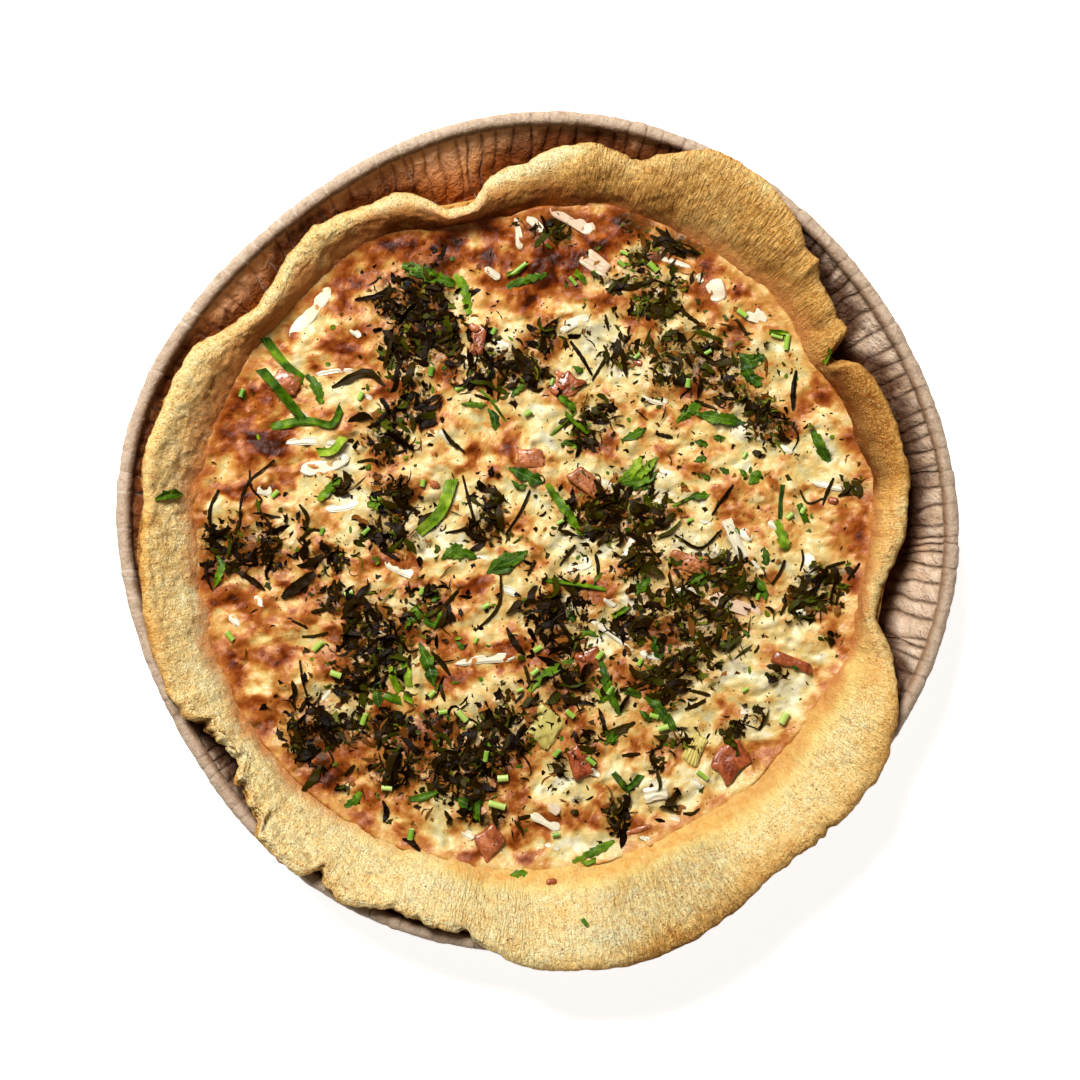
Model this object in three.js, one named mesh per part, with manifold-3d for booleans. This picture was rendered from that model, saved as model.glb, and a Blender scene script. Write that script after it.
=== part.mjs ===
// A round quiche in the pleated paper baking form that it was baked in.
// Millimetres, +Z up. The origin is the middle of the flat underside of the form.
//
// Everything round is described in polar form about the Z axis: an angle in degrees,
// counter-clockwise from +X, and a radius. A piece is a lathe body whose rings are then
// moved to the radius and height that the functions below give for their angle.

import * as THREE from 'three';
import { mergeVertices } from 'three/addons/utils/BufferGeometryUtils.js';
import Module from 'manifold-3d';

const wasm = await Module();
wasm.setup();

// ---------------------------------------------------------------- driving dimensions

// baking form: pleated paper wall with a rolled rim
const FORM_RIM_R = 129.9; // outer radius of the rolled rim, mean
const FORM_BASE_R = 98.4; // radius of the flat base
const FORM_H = 34.0; // height to the top of the rolled rim
const FORM_T = 0.8; // wall thickness, several layers of paper
const BEAD_D = 4.6; // rolled rim, across
const PLEATS = 114; // pleats round the wall
const PLEAT_DEPTH = 0.45; // half depth of a pleat at the rim
const RIM_WAVES = [
  // slow bends of the soft rim: waves per turn, size, phase
  { turns: 1, size: 1.66, phase: 110 },
  { turns: 2, size: 0.84, phase: 102 },
  { turns: 3, size: 0.44, phase: 104 },
  { turns: 4, size: 1.63, phase: -36 },
  { turns: 5, size: 0.45, phase: 90 },
  { turns: 6, size: 0.42, phase: -59 },
];

// pastry
const GAP = 0.3; // clearance between touching pieces
const CRUST_BASE_T = 3.9; // thickness of the pastry base
const EDGE_R = 111.8; // radius of the free edge before its folds
const LIP_UPRIGHT_T = 7.0; // thickness of the rolled edge where it stands up
const LIP_FLAP_T = 6.4; // and where it lies over the rim of the form
const LIP_UPRIGHT_Z = 30.3; // height of the middle of the edge where it stands up
const LIP_FLAP_Z = 37.8; // and where it lies over the rim
const WALL_T = 5.2; // thickness of the standing wall at the filling line
const FOLDS = [
  // the folds of the hand-turned edge: middle, half width (degrees), reach outwards
  { name: 'east_roll', at: 14.2, width: 10.2, reach: 3.5 },
  { name: 'east_nick', at: 30.3, width: 2.1, reach: -6.8 },
  { name: 'north_east_flap', at: 62.9, width: 14.3, reach: 19.6 },
  { name: 'flap_dip', at: 75.0, width: 3.7, reach: -5.4 },
  { name: 'north_roll', at: 85.1, width: 5.9, reach: 5.4 },
  { name: 'north_fold_in', at: 104.5, width: 5.2, reach: -7.1 },
  { name: 'north_west_knuckle', at: 110.6, width: 3.4, reach: 4.1 },
  { name: 'north_west_roll', at: 132.0, width: 13.5, reach: 9.1 },
  { name: 'north_west_dip', at: 140.6, width: 7.4, reach: -8.0 },
  { name: 'west_shoulder', at: 152.5, width: 5.9, reach: 8.3 },
  { name: 'west_bulge', at: 166.7, width: 6.0, reach: 6.4 },
  { name: 'west_flap', at: 196.2, width: 24.0, reach: 14.0 },
  { name: 'broken_edge', at: 214.7, width: 4.9, reach: -2.7 },
  { name: 'south_west_tab', at: 226.4, width: 3.1, reach: 4.3 },
  { name: 'south_west_flap', at: 237.0, width: 7.3, reach: 14.7 },
  { name: 'south_west_crack', at: 237.6, width: 2.4, reach: -4.4 },
  { name: 'south_shelf', at: 251.9, width: 7.8, reach: 5.5 },
  { name: 'south_flap', at: 268.0, width: 9.6, reach: 13.6 },
  { name: 'south_east_flap', at: 288.0, width: 13.1, reach: 20.1 },
  { name: 'south_east_bridge', at: 303.0, width: 12.0, reach: 3.4 },
  { name: 'east_flap', at: 325.0, width: 12.5, reach: 16.0 },
  { name: 'east_fold_in', at: 348.7, width: 5.2, reach: -7.2 },
];

// filling
const FILL_Z = 24.0; // level of the filling at its edge
const FOOT_R = 105.0; // radius of the line where filling and pastry meet
const FOOT_WAVES = [
  { turns: 1, size: 3.16, phase: -169 },
  { turns: 2, size: 2.0, phase: 69 },
  { turns: 3, size: 0.27, phase: 48 },
  { turns: 4, size: 0.32, phase: -57 },
  { turns: 5, size: 0.74, phase: -31 },
];
const SWELLS = [
  // soft rises and hollows of the set custard: middle, spread, height
  { x: -62, y: 34, spread: 26, rise: 0.9 },
  { x: 38, y: 78, spread: 22, rise: 0.8 },
  { x: -58, y: -52, spread: 28, rise: 0.9 },
  { x: 8, y: 4, spread: 34, rise: -0.8 },
  { x: 66, y: -30, spread: 24, rise: 0.6 },
];

// pieces baked into the top: middle, length, width, turn (degrees), how far they stand up
const PIECE_DEPTH = 4.0;
const HAM_DICE = [
  { x: 59.8, y: -70.8, long: 12.0, wide: 9.4, turn: 45, proud: 0.8 },
  { x: -15.7, y: -95.7, long: 8.4, wide: 8.0, turn: 42, proud: 0.9 },
  { x: 12.3, y: -70.5, long: 11.5, wide: 6.4, turn: -65, proud: 1.0 },
  { x: 16.0, y: 16.0, long: 13.2, wide: 5.2, turn: -43, proud: 1.5 },
  { x: 15.4, y: -38.7, long: 7.6, wide: 6.6, turn: 20, proud: 0.9 },
  { x: 79.6, y: -39.6, long: 12.0, wide: 3.4, turn: -20, proud: 0.7 },
  { x: -3.1, y: 24.5, long: 9.0, wide: 6.0, turn: 5, proud: 0.8 },
  { x: 8.2, y: 47.8, long: 9.4, wide: 7.0, turn: 40, proud: 0.8 },
  { x: -19.5, y: 62.0, long: 10.0, wide: 5.0, turn: 80, proud: 1.2 },
  { x: -79.9, y: 48.5, long: 8.8, wide: 7.0, turn: -20, proud: 0.8 },
  { x: 47.8, y: -8.2, long: 12.0, wide: 6.4, turn: -10, proud: 0.9 },
];
const ONION_PIECES = [
  { x: 36.2, y: -79.9, long: 8.2, wide: 7.0, turn: 10, proud: 0.7 },
  { x: 61.4, y: -0.9, long: 13.0, wide: 3.6, turn: -66, proud: 0.6 },
  { x: 17.9, y: 85.6, long: 9.6, wide: 5.4, turn: -35, proud: 0.8 },
];
const LEEK_PIECES = [
  { x: 48.8, y: -66.7, long: 9.6, wide: 5.6, turn: 64, proud: 0.7 },
  { x: 1.2, y: -60.0, long: 12.0, wide: 9.0, turn: 60, proud: 0.5 },
];
const SKEW = 0.06; // how far a hand-cut piece is from square, as a share of its size

// facets
const CRUST_STEPS = 120; // round the pastry and the filling
const FORM_STEPS = 2 * PLEATS; // one step up and one down for each pleat

// ---------------------------------------------------------------- shape functions

const rad = (d) => (d * Math.PI) / 180;
const mix = (a, b, t) => a + (b - a) * t;
const smooth = (a, b, x) => {
  const t = Math.min(1, Math.max(0, (x - a) / (b - a)));
  return t * t * (3 - 2 * t);
};
const apart = (a, b) => ((((a - b) % 360) + 540) % 360) - 180;
const waves = (list, deg) =>
  list.reduce((s, w) => s + w.size * Math.cos(rad(w.turns * deg - w.phase)), 0);

const rimR = (deg) => FORM_RIM_R + waves(RIM_WAVES, deg);
const footR = (deg) => FOOT_R + waves(FOOT_WAVES, deg);
const edgeR = (deg) =>
  FOLDS.reduce((s, f) => s + f.reach * Math.exp(-0.5 * (apart(deg, f.at) / f.width) ** 2), EDGE_R);

// 0 where the edge stands inside the form, 1 where it lies over the rolled rim
const overRim = (deg) => smooth(-7.5, -1.0, edgeR(deg) - (rimR(deg) - BEAD_D));

// height of the top of the filling
const fillZ = (x, y) =>
  SWELLS.reduce(
    (s, w) => s + w.rise * Math.exp(-((x - w.x) ** 2 + (y - w.y) ** 2) / (2 * w.spread ** 2)),
    FILL_Z
  );

// section of the pastry at one angle, [radius, height], from the middle of its underside
// round the edge to the middle of its upper side
const crustSection = (deg) => {
  const rim = rimR(deg);
  const foot = footR(deg);
  const edge = edgeR(deg);
  const over = overRim(deg);
  const s = foot - FOOT_R;
  const t = mix(LIP_UPRIGHT_T, LIP_FLAP_T, over) * mix(0.85, 1, smooth(5, 11, edge - foot));
  const zl = mix(LIP_UPRIGHT_Z, LIP_FLAP_Z, over) - 0.9 * smooth(0, 5, edge - rim);
  const rc = edge - t / 2;
  const top = zl + t / 2;
  const inner = (u) => [mix(foot, rc, u), mix(FILL_Z, top, 1 - (1 - u) ** 1.8)];
  const half = inner(0.5);
  const slope = Math.atan2((top - FILL_Z) * 1.8 * 0.5 ** 0.8, Math.max(rc - foot, 1));
  const under = [half[0] + 5.4 * Math.sin(slope), half[1] - 5.4 * Math.cos(slope)];
  const lipUnder = [rc, zl - t / 2];
  const corner = [rim - BEAD_D - 0.9, FORM_H + 0.6];
  const knee = [
    mix(mix(under[0], lipUnder[0], 0.5), corner[0], over),
    mix(mix(under[1], lipUnder[1], 0.5), corner[1], over),
  ];
  return [
    [0, FORM_T + GAP],
    [93.0, FORM_T + GAP],
    [99.0 + 0.2 * s, 4.4],
    [104.2 + 0.45 * s, 12],
    [105 + WALL_T + 0.95 * s, 21],
    under,
    knee,
    lipUnder,
    [rc + 0.38 * t, zl - 0.34 * t],
    [edge, zl],
    [rc + 0.36 * t, zl + 0.36 * t],
    [rc, top],
    inner(0.62),
    inner(0.28),
    [foot, FILL_Z],
    [foot - 3.0, 15],
    [97.4 + 0.3 * s, 7.6],
    [94.0, FORM_T + GAP + CRUST_BASE_T],
    [0, FORM_T + GAP + CRUST_BASE_T],
  ];
};

// section of the filling, on the same stations as the pastry's inner side
const fillSection = (deg) => {
  const foot = footR(deg);
  const s = foot - FOOT_R;
  const low = FORM_T + CRUST_BASE_T + 2 * GAP;
  const at = (r) => [r, fillZ(r * Math.cos(rad(deg)), r * Math.sin(rad(deg)))];
  return [
    [0, low],
    [93.6, low],
    [96.9 + 0.3 * s, 7.9],
    [foot - 3.5, 15],
    [foot - 0.5, FILL_Z - 0.5],
    at(foot - 3),
    at(foot * 0.78),
    at(foot * 0.42),
    [0, fillZ(0, 0)],
  ];
};

// section of the paper form, its wall zigzagging in and out with the pleats
const formSection = (deg, step) => {
  const rim = rimR(deg);
  const pleat = (step % 2 ? 1 : -1) * PLEAT_DEPTH;
  const bead = rim - BEAD_D / 2;
  return [
    [0, 0],
    [FORM_BASE_R + 0.4 * pleat, 0],
    [rim - BEAD_D * 0.72 + pleat, FORM_H - BEAD_D - 0.2],
    [rim, FORM_H - BEAD_D * 0.62],
    [bead + 0.5, FORM_H],
    [rim - BEAD_D, FORM_H - BEAD_D * 0.4],
    [rim - BEAD_D * 0.72 - 1.1 + pleat, FORM_H - BEAD_D - 0.4],
    [FORM_BASE_R - 0.7 + 0.4 * pleat, FORM_T],
    [0, FORM_T],
  ];
};

// ---------------------------------------------------------------- making the bodies

// a lathe body whose vertices are moved ring by ring to the section of their angle
const polarBody = (section, steps) => {
  const count = section(0, 0).length;
  const profile = Array.from({ length: count }, (_, i) => {
    const [r, z] = section(0, 0)[i];
    return new THREE.Vector2(r, z);
  });
  const g = new THREE.LatheGeometry(profile, steps);
  const p = g.getAttribute('position');
  for (let i = 0; i <= steps; i++) {
    const step = i % steps;
    const deg = (360 * step) / steps;
    const ring = section(deg, step);
    for (let j = 0; j < count; j++) {
      const [r, z] = ring[j];
      p.setXYZ(i * count + j, r * Math.cos(rad(deg)), r * Math.sin(rad(deg)), z);
    }
  }
  return closed(g);
};

// position only, shared corners merged, slivers at the axis dropped, faces pointing out
function closed(g) {
  g.deleteAttribute('normal');
  g.deleteAttribute('uv');
  const m = mergeVertices(g, 1e-4);
  const index = m.index.array;
  const p = m.getAttribute('position');
  const kept = [];
  let volume = 0;
  const a = new THREE.Vector3();
  const b = new THREE.Vector3();
  const c = new THREE.Vector3();
  for (let i = 0; i < index.length; i += 3) {
    const [u, v, w] = [index[i], index[i + 1], index[i + 2]];
    if (u === v || v === w || w === u) continue;
    kept.push(u, v, w);
    a.fromBufferAttribute(p, u);
    b.fromBufferAttribute(p, v);
    c.fromBufferAttribute(p, w);
    volume += a.dot(b.cross(c)) / 6;
  }
  if (volume < 0) {
    for (let i = 0; i < kept.length; i += 3) {
      [kept[i + 1], kept[i + 2]] = [kept[i + 2], kept[i + 1]];
    }
  }
  m.setIndex(kept);
  return m;
}

const toSolid = (g) => {
  const p = g.getAttribute('position');
  return new wasm.Manifold(
    new wasm.Mesh({
      numProp: 3,
      vertProperties: new Float32Array(p.array),
      triVerts: new Uint32Array(g.index.array),
    })
  );
};

const fromSolid = (solid) => {
  const mesh = solid.getMesh();
  const g = new THREE.BufferGeometry();
  g.setAttribute('position', new THREE.BufferAttribute(new Float32Array(mesh.vertProperties), 3));
  g.setIndex(new THREE.BufferAttribute(new Uint32Array(mesh.triVerts), 1));
  return g;
};

// a hand-cut block: a slightly skewed outline pushed down into the filling
const block = (piece, n, grow) => {
  const a = piece.long / 2 + grow;
  const b = piece.wide / 2 + grow;
  const k = SKEW * (n % 2 ? 1 : -1);
  const outline = new THREE.Shape();
  outline.moveTo(-a, -b * (1 - k));
  outline.lineTo(a * (1 - k), -b);
  outline.lineTo(a, b * (1 - 2 * Math.abs(k)));
  outline.lineTo(-a * (1 + k), b);
  outline.closePath();
  const g = new THREE.ExtrudeGeometry(outline, {
    depth: PIECE_DEPTH + piece.proud + 2 * grow,
    bevelEnabled: false,
    steps: 1,
  });
  g.rotateZ(rad(piece.turn));
  g.translate(piece.x, piece.y, fillZ(piece.x, piece.y) - PIECE_DEPTH - grow);
  return closed(g);
};

const look = (color, roughness) =>
  new THREE.MeshStandardMaterial({ color: new THREE.Color(...color), roughness, metalness: 0 });
const PAPER = look([0.42, 0.29, 0.21], 0.75);
const PASTRY = look([0.72, 0.5, 0.26], 0.85);
const CUSTARD = look([0.86, 0.7, 0.42], 0.5);
const HAM = look([0.55, 0.22, 0.14], 0.4);
const ONION = look([0.9, 0.85, 0.74], 0.4);
const LEEK = look([0.72, 0.68, 0.3], 0.45);

const group = new THREE.Group();
const add = (name, geometry, material) => {
  const mesh = new THREE.Mesh(geometry, material);
  mesh.name = name;
  group.add(mesh);
};

const pieces = [
  ...HAM_DICE.map((piece, i) => ({ name: `ham_dice_${i + 1}`, piece, n: i, material: HAM })),
  ...ONION_PIECES.map((piece, i) => ({ name: `onion_piece_${i + 1}`, piece, n: i, material: ONION })),
  ...LEEK_PIECES.map((piece, i) => ({ name: `leek_piece_${i + 1}`, piece, n: i, material: LEEK })),
];

let filling = toSolid(polarBody(fillSection, CRUST_STEPS));
for (const { piece, n } of pieces) filling = filling.subtract(toSolid(block(piece, n, GAP)));

add('baking_form', polarBody(formSection, FORM_STEPS), PAPER);
add('pastry_crust', polarBody(crustSection, CRUST_STEPS), PASTRY);
add('egg_filling', fromSolid(filling), CUSTARD);
for (const { name, piece, n, material } of pieces) add(name, block(piece, n, 0), material);

export default group;
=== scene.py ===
"""Looks of a round, uncut quiche in its pleated brown paper baking form.

Lengths are millimetres here and metres in Blender. The frame is the CAD frame: the form stands on z = 0,
+Z is up, angles run counter-clockwise from +X.
"""

import math

import bpy
import numpy as np
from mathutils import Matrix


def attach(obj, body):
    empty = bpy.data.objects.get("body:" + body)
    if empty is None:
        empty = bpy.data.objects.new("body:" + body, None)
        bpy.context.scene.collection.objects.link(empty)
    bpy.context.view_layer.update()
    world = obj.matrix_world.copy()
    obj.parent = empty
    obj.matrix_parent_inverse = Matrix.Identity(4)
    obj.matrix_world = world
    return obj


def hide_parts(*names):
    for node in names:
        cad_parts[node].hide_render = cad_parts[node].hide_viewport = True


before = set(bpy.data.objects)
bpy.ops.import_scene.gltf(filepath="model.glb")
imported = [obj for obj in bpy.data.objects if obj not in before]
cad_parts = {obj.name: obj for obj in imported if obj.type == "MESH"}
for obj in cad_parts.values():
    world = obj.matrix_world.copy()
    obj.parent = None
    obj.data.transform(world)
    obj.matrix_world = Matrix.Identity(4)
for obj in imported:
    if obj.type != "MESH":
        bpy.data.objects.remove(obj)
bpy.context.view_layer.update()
MM = 0.001

# ------------------------------------------------------------------ sizes, as in the CAD source
FORM_RIM_R, FORM_BASE_R, FORM_H, BEAD_D = 129.9, 98.4, 34.0, 4.6
RIM_WAVES = [(1, 1.66, 110), (2, 0.84, 102), (3, 0.44, 104), (4, 1.63, -36), (5, 0.45, 90), (6, 0.42, -59)]
EDGE_R, FILL_Z, FOOT_R = 111.8, 24.0, 105.0
FOOT_WAVES = [(1, 3.16, -169), (2, 2.0, 69), (3, 0.27, 48), (4, 0.32, -57), (5, 0.74, -31)]
FOLDS = [
    (14.2, 10.2, 3.5), (30.3, 2.1, -6.8), (62.9, 14.3, 19.6), (75, 3.7, -5.4), (85.1, 5.9, 5.4), (104.5, 5.2, -7.1),
    (110.6, 3.4, 4.1), (132, 13.5, 9.1), (140.6, 7.4, -8), (152.5, 5.9, 8.3), (166.7, 6, 6.4), (196.2, 24, 14),
    (214.7, 4.9, -2.7), (226.4, 3.1, 4.3), (237, 7.3, 14.7), (237.6, 2.4, -4.4), (251.9, 7.8, 5.5),
    (268, 9.6, 13.6), (288, 13.1, 20.1), (303, 12, 3.4), (325, 12.5, 16), (348.7, 5.2, -7.2),
]
SWELLS = [(-62, 34, 26, 0.9), (38, 78, 22, 0.8), (-58, -52, 28, 0.9), (8, 4, 34, -0.8), (66, -30, 24, 0.6)]


# ------------------------------------------------------------------ small maths
def smooth(a, b, x):
    t = np.clip((np.asarray(x, float) - a) / (b - a), 0, 1)
    return t * t * (3 - 2 * t)


def mix(a, b, t):
    return a + (b - a) * t


def lin(r, g, b):
    """sRGB 0-255 to linear."""
    out = []
    for c in (r, g, b):
        c /= 255.0
        out.append(c / 12.92 if c <= 0.04045 else ((c + 0.055) / 1.055) ** 2.4)
    return (*out, 1.0)


def wrapd(a):
    return (np.asarray(a, float) + 180) % 360 - 180


def waves(rows, th):
    return sum(s * np.cos(np.radians(n * th - p)) for n, s, p in rows)


def bell(th, at, width):
    return np.exp(-0.5 * (wrapd(th - at) / width) ** 2)


def zone(th, a, b, soft=3.0):
    """1 between the angles a and b (b may pass 360), fading over soft degrees."""
    mid, half = (a + b) / 2, (b - a) / 2
    d = np.abs(wrapd(th - mid))
    return 1 - smooth(half - soft / 2, half + soft / 2, d)


def rim_r(th):
    return FORM_RIM_R + waves(RIM_WAVES, th)


def edge_base(th):
    return EDGE_R + sum(reach * bell(th, at, width) for at, width, reach in FOLDS)


def P(px, py, z=24.0):
    """A place seen at (px, py) in a 1080-wide frame, on the level z, in millimetres."""
    s = 0.3108 * (834.0 - z) / 800.0
    return np.stack([(np.asarray(px, float) - 540) * s, -0.93 + (540 - np.asarray(py, float)) * s], -1)


# ------------------------------------------------------------------ noise
def _hash(ix, iy, iz, seed):
    h = (ix * 374761393 + iy * 668265263 + iz * 2147483647 + seed * 974634541) & 0xFFFFFFFF
    h = ((h ^ (h >> 13)) * 1274126177) & 0xFFFFFFFF
    h = ((h ^ (h >> 16)) * 2246822519) & 0xFFFFFFFF
    return (h ^ (h >> 15)) & 0xFFFFFFFF


def _val(ix, iy, iz, seed):
    return _hash(ix, iy, iz, seed) / 4294967295.0 * 2 - 1


def noise3(x, y, z, seed=0):
    """Smooth value noise, about -1 to 1."""
    x, y, z = np.broadcast_arrays(np.asarray(x, float), np.asarray(y, float), np.asarray(z, float))
    fx, fy, fz = np.floor(x), np.floor(y), np.floor(z)
    ux, uy, uz = x - fx, y - fy, z - fz
    ix, iy, iz = fx.astype(np.int64), fy.astype(np.int64), fz.astype(np.int64)
    ux, uy, uz = (u * u * u * (u * (u * 6 - 15) + 10) for u in (ux, uy, uz))
    out = 0
    for dz in (0, 1):
        wz = uz if dz else 1 - uz
        for dy in (0, 1):
            wy = uy if dy else 1 - uy
            for dx in (0, 1):
                wx = ux if dx else 1 - ux
                out = out + wx * wy * wz * _val(ix + dx, iy + dy, iz + dz, seed)
    return out


def noise2(x, y, seed=0):
    """Smooth value noise in the plane, about -1 to 1."""
    x, y = np.broadcast_arrays(np.asarray(x, float), np.asarray(y, float))
    fx, fy = np.floor(x), np.floor(y)
    ux, uy = x - fx, y - fy
    ix, iy = fx.astype(np.int64), fy.astype(np.int64)
    ux, uy = (u * u * u * (u * (u * 6 - 15) + 10) for u in (ux, uy))
    iz = np.zeros_like(ix)
    a, b = _val(ix, iy, iz, seed), _val(ix + 1, iy, iz, seed)
    c, d = _val(ix, iy + 1, iz, seed), _val(ix + 1, iy + 1, iz, seed)
    return mix(mix(a, b, ux), mix(c, d, ux), uy)


def fbm2(x, y, octaves=4, seed=0, gain=0.5):
    out, amp, tot, f = 0, 1.0, 0.0, 1.0
    for k in range(octaves):
        out = out + amp * noise2(x * f + 17.3 * k, y * f - 9.1 * k, seed + 31 * k)
        tot += amp
        amp *= gain
        f *= 2.03
    return out / tot * 1.6


def fbm3(x, y, z, octaves=4, seed=0, gain=0.5):
    out, amp, tot, f = 0, 1.0, 0.0, 1.0
    for k in range(octaves):
        out = out + amp * noise3(x * f + 17.3 * k, y * f - 9.1 * k, z * f + 4.7 * k, seed + 31 * k)
        tot += amp
        amp *= gain
        f *= 2.03
    return out / tot * 1.6


def cell2(x, y, seed=0, jitter=0.9):
    """Distance to the nearest and second nearest scattered point, and that point's own number 0-1."""
    x, y = np.broadcast_arrays(np.asarray(x, float), np.asarray(y, float))
    ix, iy = np.floor(x).astype(np.int64), np.floor(y).astype(np.int64)
    f1, f2, who = np.full(x.shape, 9.0), np.full(x.shape, 9.0), np.zeros(x.shape)
    for dy in (-1, 0, 1):
        for dx in (-1, 0, 1):
            cx, cy = ix + dx, iy + dy
            jx = cx + 0.5 + jitter * 0.5 * _val(cx, cy, np.zeros_like(cx), seed)
            jy = cy + 0.5 + jitter * 0.5 * _val(cx, cy, np.ones_like(cx), seed)
            d = np.hypot(x - jx, y - jy)
            near = d < f1
            f2 = np.where(near, f1, np.minimum(f2, d))
            who = np.where(near, _val(cx, cy, np.full_like(cx, 2), seed) * 0.5 + 0.5, who)
            f1 = np.where(near, d, f1)
    return f1, f2, who


def loop_smooth(v, n):
    """Moving average of a closed row of samples, done twice."""
    k = np.ones(n) / n
    for _ in range(2):
        v = np.convolve(np.concatenate([v[-n:], v, v[:n]]), k, "same")[n:-n]
    return v


# ------------------------------------------------------------------ mesh building
def make_mesh(name, verts, faces, smooth_shade=True, attrs=None, material=None, crisp=None):
    """verts (n,3) in mm, faces a list of arrays of equal-length rows."""
    me = bpy.data.meshes.new(name)
    verts = np.asarray(verts, float) * MM
    groups = [np.asarray(f, np.int64) for f in faces if len(f)]
    me.vertices.add(len(verts))
    me.vertices.foreach_set("co", verts.astype(np.float32).ravel())
    loops = np.concatenate([g.ravel() for g in groups])
    totals = np.concatenate([np.full(len(g), g.shape[1]) for g in groups])
    starts = np.concatenate([[0], np.cumsum(totals)[:-1]])
    me.loops.add(len(loops))
    me.loops.foreach_set("vertex_index", loops.astype(np.int32))
    me.polygons.add(len(totals))
    me.polygons.foreach_set("loop_start", starts.astype(np.int32))
    me.polygons.foreach_set("loop_total", totals.astype(np.int32))
    me.polygons.foreach_set("use_smooth", np.full(len(totals), smooth_shade))
    me.update(calc_edges=True)
    me.validate(clean_customdata=False)
    if crisp:
        me.set_sharp_from_angle(angle=math.radians(crisp))
    for key, value in (attrs or {}).items():
        a = me.attributes.new(key, "FLOAT", "POINT")
        a.data.foreach_set("value", np.asarray(value, np.float32).ravel())
    ob = bpy.data.objects.new(name, me)
    bpy.context.scene.collection.objects.link(ob)
    if material is not None:
        me.materials.append(material)
    return ob


def ring_faces(rows, n, first=0):
    """Quads of a stack of closed rings: rows rings of n points each."""
    i, j = np.meshgrid(np.arange(rows - 1), np.arange(n), indexing="ij")
    i, j = i.ravel(), j.ravel()
    k = (j + 1) % n
    return np.stack([i * n + j, i * n + k, (i + 1) * n + k, (i + 1) * n + j], -1) + first


def cap_faces(ring_start, n, centre, flip=False):
    j = np.arange(n)
    k = (j + 1) % n
    f = np.stack([ring_start + j, ring_start + k, np.full(n, centre)], -1)
    return f[:, ::-1] if flip else f


def grid_normals(p):
    """Normals of a (rows, n, 3) grid, closed along n."""
    du = np.gradient(p, axis=0)
    dv = (np.roll(p, -1, 1) - np.roll(p, 1, 1)) / 2
    n = np.cross(dv, du)
    n /= np.maximum(np.linalg.norm(n, axis=-1, keepdims=True), 1e-9)
    return n


def catmull(ctrl, per):
    """ctrl (k, n, 2) control rings; per list of samples in each span. Returns (rows, n, 2), and the span number of each row."""
    k = len(ctrl)
    out, span = [], []
    for s in range(k - 1):
        p0 = ctrl[max(s - 1, 0)]
        p1, p2 = ctrl[s], ctrl[s + 1]
        p3 = ctrl[min(s + 2, k - 1)]
        d01 = np.maximum(np.linalg.norm(p1 - p0, axis=-1), 1e-6) ** 0.5
        d12 = np.maximum(np.linalg.norm(p2 - p1, axis=-1), 1e-6) ** 0.5
        d23 = np.maximum(np.linalg.norm(p3 - p2, axis=-1), 1e-6) ** 0.5
        m1 = (p2 - p1) + d12[:, None] * ((p1 - p0) / d01[:, None] - (p2 - p0) / (d01 + d12)[:, None])
        m2 = (p2 - p1) + d12[:, None] * ((p3 - p2) / d23[:, None] - (p3 - p1) / (d12 + d23)[:, None])
        if s == 0:
            m1 = p2 - p1
        if s == k - 2:
            m2 = p2 - p1
        for t in np.arange(per[s]) / per[s]:
            h00, h10 = 2 * t**3 - 3 * t**2 + 1, t**3 - 2 * t**2 + t
            h01, h11 = -2 * t**3 + 3 * t**2, t**3 - t**2
            out.append(h00 * p1 + h10 * m1 + h01 * p2 + h11 * m2)
            span.append(s + t)
    out.append(ctrl[-1])
    span.append(k - 1)
    return np.array(out), np.array(span)


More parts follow.
